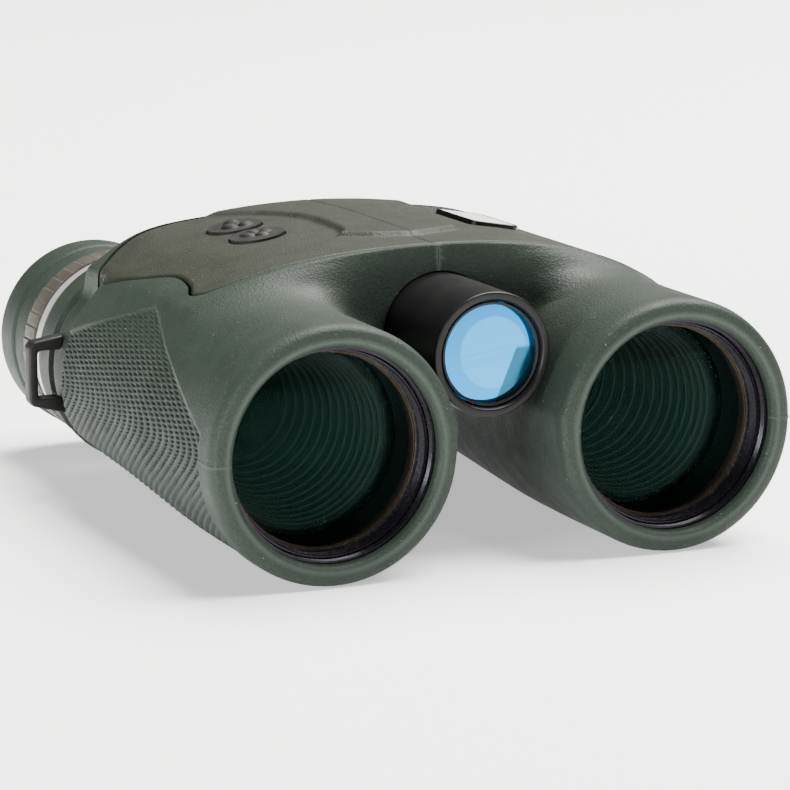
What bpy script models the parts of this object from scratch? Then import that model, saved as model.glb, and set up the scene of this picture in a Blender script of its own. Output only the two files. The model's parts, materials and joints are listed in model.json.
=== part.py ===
"""Roof-prism rangefinding binocular, modelled as an assembly of separate pieces.

Frame: origin under the middle of the object, +Z up, -Y towards the objectives, +Y towards the eyepieces.
Lengths in this file are millimetres; MM turns them into metres where geometry is made. A depth is a
distance behind the front faces of the barrels. A height is measured from the barrel axes. Side is -1 for
the right half (-X), which carries the electronics and the hinge pin, and +1 for the left half (+X).
"""

import math

import bmesh
import bpy
from mathutils import Vector

MM = 0.001

# ---- driving dimensions -------------------------------------------------------------------------------
LENGTH = 157.0                 # front faces of the barrels to the rims of the eyecups
BARREL_X = 37.75               # each barrel axis to the centre plane, fully unfolded
LIP_R = 26.5                   # outside radius of a barrel's front end
BASE = LIP_R                   # the barrel axes' height above the surface the object stands on
HINGE_Z = 16.26                # hinge axis above the barrel axes, which is also the laser tube's axis
HALF_GAP = 0.15                # each half's clearance to the centre plane
GAP = 0.3                      # clearance between neighbouring pieces

# ---- armour ------------------------------------------------------------------------------------------
TOP_HEIGHT = 34.9              # top of the bridge at the centre plane
ARCH_QUADRATIC = 0.0023        # the top falls away sideways by this times x^2 ...
ARCH_QUARTIC = 6.2e-7          # ... and this times x^4
SIDE_R = 27.0                  # body radius over the grip pads
BELLY_FRONT_R = 26.2           # body radius underneath, at the front ...
BELLY_REAR_R = 22.9            # ... and at the rear
BELLY_FRONT_DEPTH = 45.0
BELLY_REAR_DEPTH = 100.0
PAD_END = (94.0, 98.0)         # depths between which the grip pad steps down to the rear sleeve
PAD_ANGLES = (-52.0, -14.0)    # the side's fullness fades out between these angles, towards the belly
BRIDGE_FRONT = 33.2            # foot of the bridge's front face, at the centre plane
FRONT_EDGE = 37.0              # its top edge, at the centre plane
FRONT_EDGE_SWEEP = 0.0026      # the top edge runs back sideways by this times x^2
SHOULDER_START = 20.0          # where the barrel starts to swell, above the barrel axis
BODY_END = 112.5
REAR_SETTLE = 1.2              # the top surface comes down by this towards the rear ...
REAR_SETTLE_START = 84.0       # ... from this depth on
SETTLE_SHARE = 0.7             # share of it that is straight down, at the middle of the top
REAR_CORNER_CUT = 0.045        # and its outer corners pull in by this share
SLEEVE_R = 22.5
SLEEVE_END = 124.2
LIP_BORE_R = 21.9
ARMOUR_BORE_R = 22.8
SLEEVE_BORE_R = 20.8

# ---- top cover ---------------------------------------------------------------------------------------
COVER_THICKNESS = 2.4
COVER_EDGE_DROP = 2.8          # the cover hangs this much lower at its outer edge, where the body curves down
COVER_ROWS = (                 # depth, half-width of the cover, following the groove on top of the body
    (39.2, 6.0), (40.4, 22.0), (42.4, 35.0), (44.6, 43.5), (47.0, 48.0), (50.0, 49.6), (57.0, 48.0),
    (66.0, 47.2), (80.0, 51.4), (88.0, 53.6), (94.0, 54.8), (99.0, 54.2), (104.0, 51.0), (108.0, 46.8),
    (109.8, 42.4), (110.4, 36.0),
)
ARCH_STEPS = (0.0, 10.0, 20.0, 30.0, 38.0, 43.0, 46.0, 49.0, 60.0)   # where the cover's underside bends
CREEP = 0.15                   # least distance between two of them, on a narrow row
PLATEAU_RISE = 0.95
PLATEAU_ROWS = (               # depth, half-width of the raised field in the middle of the cover
    (50.5, 2.0), (53.0, 7.5), (58.2, 14.4), (60.5, 12.8), (66.0, 11.8), (80.0, 12.0), (88.0, 13.4),
    (94.0, 15.6), (100.5, 19.2), (106.0, 24.0),
)

# ---- hinge and laser tube ----------------------------------------------------------------------------
TUBE_R = 12.9
TUBE_FRONT = 9.6
TUBE_REAR = 106.0
AXLE_R = 10.6
AXLE_REAR = 130.0
KNUCKLE_R = 15.0
KNUCKLE_BORE_R = 13.15
DRUM_R = 15.35                 # armour clearance round the knuckles
DRUM_FRONT = 38.2
RIGHT_KNUCKLES = ((38.8, 50.0), (66.0, 78.0), (94.0, 104.5))
LEFT_KNUCKLES = ((51.0, 65.0), (79.0, 93.0))
ARM_HEIGHT = 9.0

# ---- optics and eyepieces ----------------------------------------------------------------------------
CHASSIS_R = 22.5
CHASSIS_REAR_R = 21.2          # it is slimmer inside the rear sleeve ...
CHASSIS_STEP = 96.0            # ... from this depth
CHASSIS_FRONT = 2.6
CHASSIS_REAR = 111.4
EYEPIECE_R = 20.3
COLLAR_R = 21.5
COLLAR = (124.5, 129.7)        # bright collar
DIOPTRE = (130.0, 137.2)
DIOPTRE_R = 22.0
CUP_BASE = (137.6, 144.4)      # turning collar under the eyecup
CUP_BASE_R = 21.5
CUP_FRONT = 144.8
CUP_R = 21.9
CUP_SLEEVE_FRONT = 132.5
CUP_SLEEVE_R = (20.55, 20.95)

# ---- focus and battery -------------------------------------------------------------------------------
WHEEL = (111.6, 129.4)
WHEEL_R = 15.0
WHEEL_HUB_R = 12.7
WHEEL_RIBS = 16
BATTERY = (72.2, 99.2)         # a CR2 class cell
BATTERY_R = 7.8

# ---- buttons and plate -------------------------------------------------------------------------------
BUTTON_X = 26.0
BUTTON_DEPTHS = (74.4, 88.2)
BUTTON_R = 6.3                 # along the barrel
BUTTON_R_ACROSS = 6.0
BUTTON_PROUD = 0.9
PLATE_CENTRE = (27.2, 77.4)
PLATE_SIZE = (12.0, 21.5)
PLATE_SPAN = (-0.9, 0.9)       # under and over the cover

# ---- strap lug ---------------------------------------------------------------------------------------
LUG_SPAN = (106.6, 110.6)
LUG_OUTLINE = ((59.3, -9.2), (66.6, -7.3), (67.6, -6.2), (67.6, 6.0), (66.6, 7.2), (59.6, 8.4))   # x, height
LUG_WAY = (65.6, -5.4, 5.2)    # the strap's way through: outer x, lower and upper height
LUG_CLEAR_R = 23.3             # the loop's feet end at this distance from the barrel axis

SEGMENTS = 26                  # facets round a large turned piece ...
FEW_SEGMENTS = 16              # ... and round a small or hidden one

MATERIALS = {                  # base colour, metallic, roughness
    "armour": ((0.070, 0.086, 0.074), 0.0, 0.72),
    "cover": ((0.066, 0.080, 0.070), 0.0, 0.75),
    "chassis": ((0.020, 0.020, 0.022), 0.6, 0.45),
    "black_metal": ((0.012, 0.012, 0.013), 0.7, 0.35),
    "worn_metal": ((0.10, 0.10, 0.10), 0.8, 0.4),
    "silver": ((0.62, 0.62, 0.63), 1.0, 0.25),
    "ring_bronze": ((0.22, 0.19, 0.17), 0.6, 0.4),
    "black_plastic": ((0.014, 0.013, 0.013), 0.0, 0.5),
    "button_rubber": ((0.018, 0.013, 0.012), 0.0, 0.55),
    "lens_glass": ((0.03, 0.07, 0.06), 0.0, 0.05),
    "laser_glass": ((0.10, 0.45, 0.62), 0.0, 0.05),
    "board": ((0.02, 0.12, 0.05), 0.0, 0.5),
    "cell": ((0.35, 0.30, 0.20), 0.6, 0.35),
    "spring_steel": ((0.55, 0.55, 0.56), 1.0, 0.3),
    "seal_rubber": ((0.02, 0.02, 0.02), 0.0, 0.8),
}


# ---- helpers -----------------------------------------------------------------------------------------
def world(x, depth, height):
    """A point in metres, from millimetres across, behind the front faces and above the barrel axes."""
    return Vector((x, depth - LENGTH / 2, height + BASE)) * MM


def clear_scene():
    for old in list(bpy.data.objects):
        bpy.data.objects.remove(old, do_unlink=True)


def new_collection(name):
    group = bpy.data.collections.new(name)
    bpy.context.scene.collection.children.link(group)
    return group


def make_material(name):
    colour, metallic, roughness = MATERIALS[name]
    material = bpy.data.materials.get(name)
    if material is None:
        material = bpy.data.materials.new(name)
        material.use_nodes = True
        shader = material.node_tree.nodes["Principled BSDF"]
        shader.inputs["Base Color"].default_value = (*colour, 1.0)
        shader.inputs["Metallic"].default_value = metallic
        shader.inputs["Roughness"].default_value = roughness
    return material


def finish(obj, material, group, smooth=True):
    """Put an object in its collection; a cutter has no material."""
    for owner in list(obj.users_collection):
        owner.objects.unlink(obj)
    group.objects.link(obj)
    if material:
        obj.data.materials.clear()
        obj.data.materials.append(make_material(material))
    else:
        obj.hide_render = True
        obj.display_type = "WIRE"
    if smooth:
        obj.data.shade_smooth()
        obj.data.set_sharp_from_angle(angle=math.radians(35))
    return obj


def mesh_object(name, shape):
    mesh = bpy.data.meshes.new(name)
    shape.to_mesh(mesh)
    shape.free()
    return bpy.data.objects.new(name, mesh)


def area_of(profile):
    pairs = zip(profile, profile[1:] + profile[:1])
    return sum(a[0] * b[1] - b[0] * a[1] for a, b in pairs) / 2


def turned(name, profile, axis, material, group, segments=SEGMENTS):
    """Turn a profile of (radius, depth) about an axis that runs along Y; axis is its (x, height)."""
    points = list(profile) if area_of(list(profile)) < 0 else list(reversed(profile))
    solid = min(radius for radius, depth in points) == 0.0
    while solid and not (points[0][0] == 0.0 and points[-1][0] == 0.0):
        points = points[1:] + points[:1]
    mesh = bpy.data.meshes.new(name)
    count = len(points)
    edges = [(i, i + 1) for i in range(count - 1)] + ([] if solid else [(count - 1, 0)])
    mesh.from_pydata([(radius * MM, 0, depth * MM) for radius, depth in points], edges, [])
    obj = bpy.data.objects.new(name, mesh)
    screw = obj.modifiers.new("turn", "SCREW")
    screw.axis = "Z"
    screw.steps = segments
    screw.render_steps = segments
    screw.use_merge_vertices = True
    screw.merge_threshold = 1e-6
    obj.location = world(axis[0], 0, axis[1])
    obj.rotation_euler = (-math.pi / 2, 0, 0)
    return finish(obj, material, group, smooth=False)


def ring(name, inner, outer, span, axis, material, group, segments=SEGMENTS, chamfer=0.0):
    """A plain ring, with its two outer edges chamfered."""
    profile = [
        (inner, span[0]), (outer - chamfer, span[0]), (outer, span[0] + chamfer),
        (outer, span[1] - chamfer), (outer - chamfer, span[1]), (inner, span[1]),
    ]
    if chamfer == 0.0:
        profile = [(inner, span[0]), (outer, span[0]), (outer, span[1]), (inner, span[1])]
    return turned(name, profile, axis, material, group, segments)


def disc(name, radius, span, axis, material, group, segments=SEGMENTS, bulge=(0.0, 0.0)):
    """A solid disc; bulge pushes the middles of its two faces outwards, for a lens."""
    steps = (0.0, 0.6) if any(bulge) else (0.0,)
    front = [(radius * s, span[0] - bulge[0] * (1 - s * s)) for s in steps]
    back = [(radius * s, span[1] + bulge[1] * (1 - s * s)) for s in reversed(steps)]
    profile = front + [(radius, span[0]), (radius, span[1])] + back
    return turned(name, profile, axis, material, group, segments)


def box(name, x, depth, height, material, group, bevel=0.0):
    """A box between pairs of x, depths and heights."""
    low = world(min(x), min(depth), min(height))
    high = world(max(x), max(depth), max(height))
    shape = bmesh.new()
    bmesh.ops.create_cube(shape, size=1.0)
    bmesh.ops.scale(shape, vec=high - low, verts=shape.verts)
    if bevel:
        bmesh.ops.bevel(shape, geom=shape.edges[:], offset=bevel * MM, segments=2, affect="EDGES", profile=0.5)
    obj = mesh_object(name, shape)
    obj.location = (low + high) / 2
    return finish(obj, material, group)


def loft(name, sections, material, group):
    """Skin a list of rings of world points, all with the same count, and cap both ends."""
    shape = bmesh.new()
    rings = [[shape.verts.new(point) for point in section] for section in sections]
    for near, far in zip(rings, rings[1:]):
        for i in range(len(near)):
            j = (i + 1) % len(near)
            shape.faces.new((near[i], near[j], far[j], far[i]))
    shape.faces.new(rings[0])
    shape.faces.new(rings[-1])
    bmesh.ops.recalc_face_normals(shape, faces=shape.faces)
    return finish(mesh_object(name, shape), material, group)


def cut(obj, cutter, operation="DIFFERENCE"):
    boolean = obj.modifiers.new(cutter.name, "BOOLEAN")
    boolean.operation = operation
    boolean.solver = "EXACT"
    boolean.object = cutter


def pivot(name, x, depth, height, group, parent=None):
    """An empty on a joint's axis, which carries the pieces that move with it."""
    empty = bpy.data.objects.new(name, None)
    empty.empty_display_size = 0.01
    empty.location = world(x, depth, height)
    group.objects.link(empty)
    if parent:
        attach(empty, parent)
    return empty


def attach(obj, parent):
    bpy.context.view_layer.update()
    obj.parent = parent
    obj.matrix_parent_inverse = parent.matrix_world.inverted()


def side_name(side):
    return "left" if side > 0 else "right"


def barrel_axis(side):
    return (side * BARREL_X, 0.0)


HINGE_AXIS = (0.0, HINGE_Z)


# ---- the body's outside shape ------------------------------------------------------------------------
def arch(x):
    """Height of the top surface at a distance from the centre plane."""
    return TOP_HEIGHT - ARCH_QUADRATIC * x**2 - ARCH_QUARTIC * x**4


def blend(value, low, high):
    """0 below low, 1 above high, smooth between."""
    t = min(max((value - low) / (high - low), 0.0), 1.0)
    return t * t * (3 - 2 * t)


def outline():
    """The body's section, as (angle, radius or None, x) about the barrel axis, from top centre outwards.

    A radius of None is on the round part of the barrel, whose size changes along its length.
    """
    points = []
    for x in (-3.0, 0.0, 6.0, 12.0, 18.0, 24.0, 30.0, 35.0, 39.5, 43.5, 47.0, 50.0, 52.5):
        across, up = x - BARREL_X, arch(x)
        points.append((math.atan2(up, across), math.hypot(across, up), x))
    for degrees in range(46, -181, -14):
        angle = math.radians(degrees)
        points.append((angle, None, BARREL_X * 1.3))
    across, up = -3.0 - BARREL_X, 12.0
    points.append((math.atan2(up, across) - 2 * math.pi, math.hypot(across, up), -3.0))
    return points


def round_radius(angle, depth):
    """Radius of the barrel part of the body: full over the grip pad, slimmer underneath and behind."""
    along = (depth - BELLY_FRONT_DEPTH) / (BELLY_REAR_DEPTH - BELLY_FRONT_DEPTH)
    belly = BELLY_FRONT_R + (BELLY_REAR_R - BELLY_FRONT_R) * min(max(along, 0.0), 1.0)
    side = blend(math.degrees(angle), *PAD_ANGLES)
    side *= 1.0 - blend(depth, *PAD_END)
    return belly + (SIDE_R - belly) * side


def settle(x, depth):
    """How much lower the top surface is towards the rear, in the middle of the body."""
    return REAR_SETTLE * blend(depth, REAR_SETTLE_START, BODY_END) * (1 - blend(x, 20.0, 40.0))


def body_point(point, depth, inset=0.0):
    """A section point's distance from the centre plane and height, inset millimetres under the surface."""
    angle, radius, x = point
    if radius is None:
        radius = round_radius(angle, depth)
    else:
        outer = blend(x, 40.0, 52.5) * blend(depth, PAD_END[0], BODY_END)
        radius = radius * (1 - REAR_CORNER_CUT * outer) - settle(x, depth)
    radius -= inset
    return BARREL_X + radius * math.cos(angle), radius * math.sin(angle)


SHOULDER = ((0.0, 0.0), (0.38, 0.07), (0.7, 0.36), (0.92, 0.86), (1.0, 1.0))


def body_sections(side):
    """Rings from the barrel's front face, over the shoulder and the body, to the rear sleeve."""
    points = outline()

    def place(point, radius, depth):
        angle = point[0]
        x = BARREL_X + radius * math.cos(angle)
        return world(side * x, depth, radius * math.sin(angle))

    def circle(radius, depth):
        return [place(point, radius, depth) for point in points]

    def body(depth, at, inset=0.0):
        found = [body_point(point, depth, inset) for point in points]
        return [world(side * x, at, height) for x, height in found]

    sections = [circle(24.0, 0.0), circle(25.5, 0.5), circle(26.2, 1.4), circle(LIP_R, 3.2)]
    for step, rise in SHOULDER:
        section = []
        for point in points:
            x = abs(point[2])
            start = BRIDGE_FRONT + (SHOULDER_START - BRIDGE_FRONT) * blend(x, 6.0, BARREL_X)
            end = FRONT_EDGE + FRONT_EDGE_SWEEP * min(x, 50.0) ** 2
            depth = start + (end - start) * step
            target_x, target_height = body_point(point, end)
            target = math.hypot(target_x - BARREL_X, target_height)
            section.append(place(point, LIP_R + (target - LIP_R) * rise, depth))
        sections.append(section)
    for depth in (52.0, 73.0, PAD_END[0], PAD_END[1], 104.0, 111.0):
        sections.append(body(depth, depth))
    sections.append(body(BODY_END, BODY_END + 0.8, 1.2))
    sections += [circle(23.2, 114.0), circle(SLEEVE_R, 115.0), circle(SLEEVE_R - 0.1, SLEEVE_END - 0.6)]
    sections.append(circle(SLEEVE_R - 0.7, SLEEVE_END))
    return sections


def spread(width):
    """Distances from the centre plane out to a width, at the same places on every row where they fit."""
    last = len(ARCH_STEPS) - 1
    return [min(x, width - CREEP * (last - i)) for i, x in enumerate(ARCH_STEPS)]


def slab(name, side, rows, drop, rise, grow, material, group):
    """A slab that follows the arch: from drop below it to rise above it, inside the rows' half-widths."""
    sections = []
    first, last = rows[0][0], rows[-1][0]
    for depth, width in rows:
        shift = grow if depth == last else (-grow if depth == first else 0.0)
        edges = spread(width + grow)
        hang = [drop + COVER_EDGE_DROP * blend(x, 43.0, 52.5) for x in edges]
        tops = [arch(x) - settle(x, depth) * SETTLE_SHARE for x in edges]
        under = [world(side * x, depth + shift, top - low) for x, top, low in zip(edges, tops, hang)]
        over = [world(side * x, depth + shift, top + rise) for x, top in zip(edges, tops)][::-1]
        sections.append(under + over)
    return loft(name, sections, material, group)


def centre_cutter(side, group):
    return box(f"{side_name(side)}_centre_cut", (side * HALF_GAP, -side * 60), (-10, 170), (-60, 60), None, group)


def make_body(side, parts, cutters):
    """The armour and the top cover of one half."""
    name = side_name(side)
    armour = loft(f"{name}_armour", body_sections(side), "armour", parts)
    cover = loft(f"{name}_top_cover", body_sections(side), "cover", parts)
    centre = centre_cutter(side, cutters)
    drum = turned(
        f"{name}_drum_cut",
        [(0, 20), (TUBE_R + GAP, 20), (TUBE_R + GAP, DRUM_FRONT), (DRUM_R, DRUM_FRONT), (DRUM_R, 140), (0, 140)],
        HINGE_AXIS, None, cutters, FEW_SEGMENTS,
    )
    bore = turned(
        f"{name}_bore_cut",
        [
            (0, -2), (LIP_BORE_R + 0.6, -2), (LIP_BORE_R, 0.8), (LIP_BORE_R, CHASSIS_FRONT - GAP),
            (ARMOUR_BORE_R, CHASSIS_FRONT - GAP), (ARMOUR_BORE_R, CHASSIS_STEP + GAP),
            (CHASSIS_REAR_R + GAP, CHASSIS_STEP + GAP), (CHASSIS_REAR_R + GAP, CHASSIS_REAR + GAP),
            (SLEEVE_BORE_R, CHASSIS_REAR + GAP), (SLEEVE_BORE_R, 140), (0, 140),
        ],
        barrel_axis(side), None, cutters,
    )
    pocket = slab(f"{name}_cover_pocket", side, COVER_ROWS, COVER_THICKNESS + GAP, 9.0, GAP, None, cutters)
    plan = slab(f"{name}_cover_plan", side, COVER_ROWS, COVER_THICKNESS, 9.0, 0.0, None, cutters)
    field = slab(f"{name}_plateau", side, PLATEAU_ROWS, 1.0, PLATEAU_RISE, 0.0, None, cutters)
    for cutter in (pocket, bore, drum, arm_slot(side, cutters), centre):
        cut(armour, cutter)
    cut(cover, plan, "INTERSECT")
    cut(cover, field, "UNION")
    cut(cover, centre)
    return armour, cover


# ---- hinge -------------------------------------------------------------------------------------------
def arm_block(name, side, span, thickness, reach, group):
    """A block that runs from the hinge axis towards a barrel axis, between two distances along that line."""
    distance = math.hypot(BARREL_X, HINGE_Z)
    shape = bmesh.new()
    bmesh.ops.create_cube(shape, size=1.0)
    size = Vector((reach[1] - reach[0], span[1] - span[0], thickness)) * MM
    bmesh.ops.scale(shape, vec=size, verts=shape.verts)
    obj = mesh_object(name, shape)
    middle = (reach[0] + reach[1]) / 2 / distance
    obj.location = world(side * BARREL_X * middle, (span[0] + span[1]) / 2, HINGE_Z * (1 - middle))
    obj.rotation_euler = (0, side * math.atan2(HINGE_Z, BARREL_X), 0)
    return finish(obj, None, group)


def arm_slot(side, cutters):
    """The window in the armour through which the hinge arms reach the chassis."""
    span = (RIGHT_KNUCKLES[0][0] - 0.4, RIGHT_KNUCKLES[-1][1] + 0.4)
    return arm_block(f"{side_name(side)}_arm_slot", side, span, ARM_HEIGHT + 2 * GAP, (13.0, 21.0), cutters)


def make_chassis(side, parts, cutters):
    """The barrel's inner tube, cast in one with its hinge arms and knuckles."""
    name = side_name(side)
    chassis = turned(
        f"{name}_chassis",
        [
            (CHASSIS_R, CHASSIS_FRONT), (CHASSIS_R, CHASSIS_STEP), (CHASSIS_REAR_R, CHASSIS_STEP),
            (CHASSIS_REAR_R, CHASSIS_REAR), (14.5, CHASSIS_REAR), (14.5, 109.4), (19.8, 109.4), (19.8, 20.0),
            (21.5, 20.0), (21.5, CHASSIS_FRONT),
        ],
        barrel_axis(side), "chassis", parts,
    )
    knuckles = RIGHT_KNUCKLES if side < 0 else LEFT_KNUCKLES
    for number, span in enumerate(knuckles, 1):
        arm = arm_block(f"{name}_arm_{number}", side, span, ARM_HEIGHT, (14.0, 19.6), cutters)
        knuckle = ring(
            f"{name}_knuckle_{number}", KNUCKLE_BORE_R, KNUCKLE_R, span, HINGE_AXIS, None, cutters, FEW_SEGMENTS,
        )
        cut(chassis, arm, "UNION")
        cut(chassis, knuckle, "UNION")
    return chassis


def make_laser(parts):
    """The tube between the barrels: hinge pin, laser housing and battery tube in one."""
    tube = turned(
        "laser_tube",
        [
            (TUBE_R - 0.5, TUBE_FRONT), (TUBE_R, TUBE_FRONT + 0.5), (TUBE_R, TUBE_REAR), (AXLE_R, TUBE_REAR),
            (AXLE_R, AXLE_REAR), (8.6, AXLE_REAR), (8.6, 64.0), (10.3, 64.0), (10.3, 20.0), (11.0, 20.0),
            (11.0, 10.4), (12.0, TUBE_FRONT),
        ],
        HINGE_AXIS, "black_metal", parts,
    )
    lens_ring = ring("laser_lens_ring", 10.1, 10.7, (10.5, 11.5), HINGE_AXIS, "black_metal", parts)
    lens = disc("laser_lens", 10.7, (12.1, 14.6), HINGE_AXIS, "laser_glass", parts, bulge=(0.3, 0.0))
    module = turned(
        "laser_module",
        [(0, 26), (5.0, 26), (5.0, 32), (9.6, 32), (9.6, 50), (7.5, 50), (7.5, 61), (0, 61)],
        HINGE_AXIS, "board", parts, FEW_SEGMENTS,
    )
    return [tube, lens_ring, lens, module]


# ---- optics ------------------------------------------------------------------------------------------
def make_optics(side, parts, cutters):
    """What one barrel holds and does not move in it."""
    name = side_name(side)
    axis = barrel_axis(side)
    x = side * BARREL_X
    cell = turned(
        f"{name}_objective_cell",
        [(21.2, 8.2), (21.2, 19.6), (20.4, 19.6), (20.4, 9.4), (19.9, 9.4), (19.9, 8.2)],
        axis, "worn_metal", parts,
    )
    cage = box(f"{name}_prism_cage", (x - 13.5, x + 13.5), (84, 107), (-13.5, 13.5), "black_plastic", parts)
    cut(cage, box(f"{name}_cage_cut", (x - 11.8, x + 11.8), (80, 110), (-11.8, 11.8), None, cutters))
    eyepiece = turned(
        f"{name}_eyepiece_tube",
        [
            (20.4, 114.2), (20.4, COLLAR[0]), (COLLAR_R, COLLAR[0]), (COLLAR_R, COLLAR[1]),
            (EYEPIECE_R, COLLAR[1]), (EYEPIECE_R, 146.2), (12.9, 146.2), (12.9, 140.5), (17.6, 140.5),
            (17.6, 114.2),
        ],
        axis, "silver", parts,
    )
    board_name = "display_module" if side < 0 else "receiver_module"
    return [
        ring(f"{name}_lens_ring", 20.6, 21.2, (4.4, 7.8), axis, "black_metal", parts),
        cell,
        disc(f"{name}_objective_lens", 20.1, (11.4, 15.2), axis, "lens_glass", parts, bulge=(1.6, 0.5)),
        turned(
            f"{name}_baffle",
            [(19.5, 20.3), (19.5, 59.0), (12.6, 59.0), (12.6, 57.8), (18.8, 20.3)],
            axis, "chassis", parts, FEW_SEGMENTS,
        ),
        box(f"{name}_prism", (x - 11.4, x + 11.4), (85, 106), (-11.4, 11.4), "lens_glass", parts, bevel=2.0),
        cage,
        box(board_name, (x - 7.5, x + 7.5), (88, 98), (14.0, 17.6), "board", parts),
        eyepiece,
        disc(f"{name}_field_lens", 17.2, (120, 124), axis, "lens_glass", parts, FEW_SEGMENTS, bulge=(0.6, 1.2)),
        disc(f"{name}_eye_lens", 12.6, (141.4, 144.4), axis, "lens_glass", parts, FEW_SEGMENTS, bulge=(0.4, 1.0)),
    ]


def make_focus_group(side, parts):
    name = side_name(side)
    axis = barrel_axis(side)
    carrier = turned(
        f"{name}_focus_carrier",
        [(19.4, 64), (19.4, 72), (15.4, 72), (15.4, 66), (14.4, 66), (14.4, 64)],
        axis, "black_metal", parts, FEW_SEGMENTS,
    )
    lens = disc(f"{name}_focus_lens", 15.1, (67.2, 70.6), axis, "lens_glass", parts, FEW_SEGMENTS, bulge=(0.5, 0.3))
    return [carrier, lens]


def make_dioptre_ring(side, parts):
    inner = CUP_SLEEVE_R[1] + 0.25
    return ring(
        f"{side_name(side)}_dioptre_ring", inner, DIOPTRE_R, DIOPTRE, barrel_axis(side), "ring_bronze", parts,
        chamfer=0.4,
    )


def make_eyecup(side, parts):
    """The collar that turns, and the cup that climbs out of it."""
    name = side_name(side)
    axis = barrel_axis(side)
    base = ring(
        f"{name}_eyecup_collar", CUP_SLEEVE_R[1] + 0.25, CUP_BASE_R, CUP_BASE, axis, "armour", parts, chamfer=0.15,
    )
    cup = turned(
        f"{name}_eyecup",
        [
            (CUP_SLEEVE_R[1], CUP_SLEEVE_FRONT), (CUP_SLEEVE_R[1], CUP_FRONT), (CUP_BASE_R, CUP_FRONT),
            (CUP_R, CUP_FRONT + 1.0), (CUP_R, 154.0), (CUP_R - 0.5, 155.8), (CUP_R - 1.7, LENGTH),
            (CUP_R - 3.4, LENGTH - 0.3), (17.6, 152.0), (15.0, 148.6), (15.0, 147.0),
            (CUP_SLEEVE_R[0], 147.0), (CUP_SLEEVE_R[0], CUP_SLEEVE_FRONT),
        ],
        axis, "armour", parts,
    )
    return base, cup


# ---- strap lug ---------------------------------------------------------------------------------------
def make_lug(side, parts, cutters):
    """A loop beside the rear of the barrel: a bar on two short feet, open along the barrel for the strap."""
    name = side_name(side)
    sections = [[world(side * x, depth, height) for x, height in LUG_OUTLINE] for depth in LUG_SPAN]
    lug = loft(f"{name}_strap_lug", sections, "black_plastic", parts)
    outer, low, high = LUG_WAY
    across = sorted((side * 50.0, side * outer))
    long = (LUG_SPAN[0] - 5, LUG_SPAN[1] + 5)
    cut(lug, box(f"{name}_lug_way", across, long, (low, high), None, cutters))
    barrel = [(0, long[0]), (LUG_CLEAR_R, long[0]), (LUG_CLEAR_R, long[1]), (0, long[1])]
    cut(lug, turned(f"{name}_lug_clear", barrel, barrel_axis(side), None, cutters))
    return lug


# ---- focus wheel and battery -------------------------------------------------------------------------
def ribbed_ring(name, inner, outer, span, ribs, depth, material, group):
    """A ring whose outside is a row of ribs: an extruded outline that steps in and out."""
    shape = bmesh.new()
    loops = []
    for y in span:
        outer_ring, inner_ring = [], []
        for i in range(ribs * 4):
            angle = 2 * math.pi * i / (ribs * 4)
            radius = outer if i % 4 < 2 else outer - depth
            spot = world(radius * math.cos(angle), y, HINGE_Z + radius * math.sin(angle))
            outer_ring.append(shape.verts.new(spot))
            spot = world(inner * math.cos(angle), y, HINGE_Z + inner * math.sin(angle))
            inner_ring.append(shape.verts.new(spot))
        loops.append((outer_ring, inner_ring))
    count = ribs * 4
    for i in range(count):
        j = (i + 1) % count
        shape.faces.new((loops[0][0][i], loops[0][0][j], loops[1][0][j], loops[1][0][i]))
        shape.faces.new((loops[0][1][j], loops[0][1][i], loops[1][1][i], loops[1][1][j]))
        for outer_ring, inner_ring in loops:
            shape.faces.new((outer_ring[i], outer_ring[j], inner_ring[j], inner_ring[i]))
    bmesh.ops.recalc_face_normals(shape, faces=shape.faces)
    return finish(mesh_object(name, shape), material, group)


def make_focus_wheel(parts):
    hub = ring("focus_wheel_hub", AXLE_R + GAP, WHEEL_HUB_R, WHEEL, HINGE_AXIS, "black_metal", parts, FEW_SEGMENTS)
    grip = ribbed_ring(
        "focus_wheel_grip", WHEEL_HUB_R + 0.25, WHEEL_R, (WHEEL[0] + 0.8, WHEEL[1] - 0.8), WHEEL_RIBS, 0.8,
        "ring_bronze", parts,
    )
    nut = ring("focus_nut", AXLE_R + GAP, 13.6, (107.4, 109.4), HINGE_AXIS, "worn_metal", parts, FEW_SEGMENTS)
    return hub, grip, nut


def battery_spring(parts):
    """A helix of wire between the laser module and the battery."""
    turns, radius, wire, start, end = 4, 5.0, 0.45, 65.2, 71.2
    curve = bpy.data.curves.new("battery_spring_path", "CURVE")
    curve.dimensions = "3D"
    curve.bevel_depth = wire * MM
    curve.bevel_resolution = 0
    curve.use_fill_caps = True
    spline = curve.splines.new("POLY")
    count = turns * 9
    spline.points.add(count)
    for i in range(count + 1):
        angle = 2 * math.pi * i / 9
        depth = start + (end - start) * i / count
        spot = world(radius * math.cos(angle), depth, HINGE_Z + radius * math.sin(angle))
        spline.points[i].co = (*spot, 1.0)
    path = bpy.data.objects.new("battery_spring_path", curve)
    parts.objects.link(path)
    bpy.context.view_layer.update()
    mesh = bpy.data.meshes.new_from_object(path.evaluated_get(bpy.context.evaluated_depsgraph_get()))
    bpy.data.objects.remove(path, do_unlink=True)
    shape = bmesh.new()
    shape.from_mesh(mesh)
    bmesh.ops.remove_doubles(shape, verts=shape.verts, dist=1e-6)
    bmesh.ops.recalc_face_normals(shape, faces=shape.faces)
    return finish(mesh_object("battery_spring", shape), "spring_steel", parts)


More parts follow.
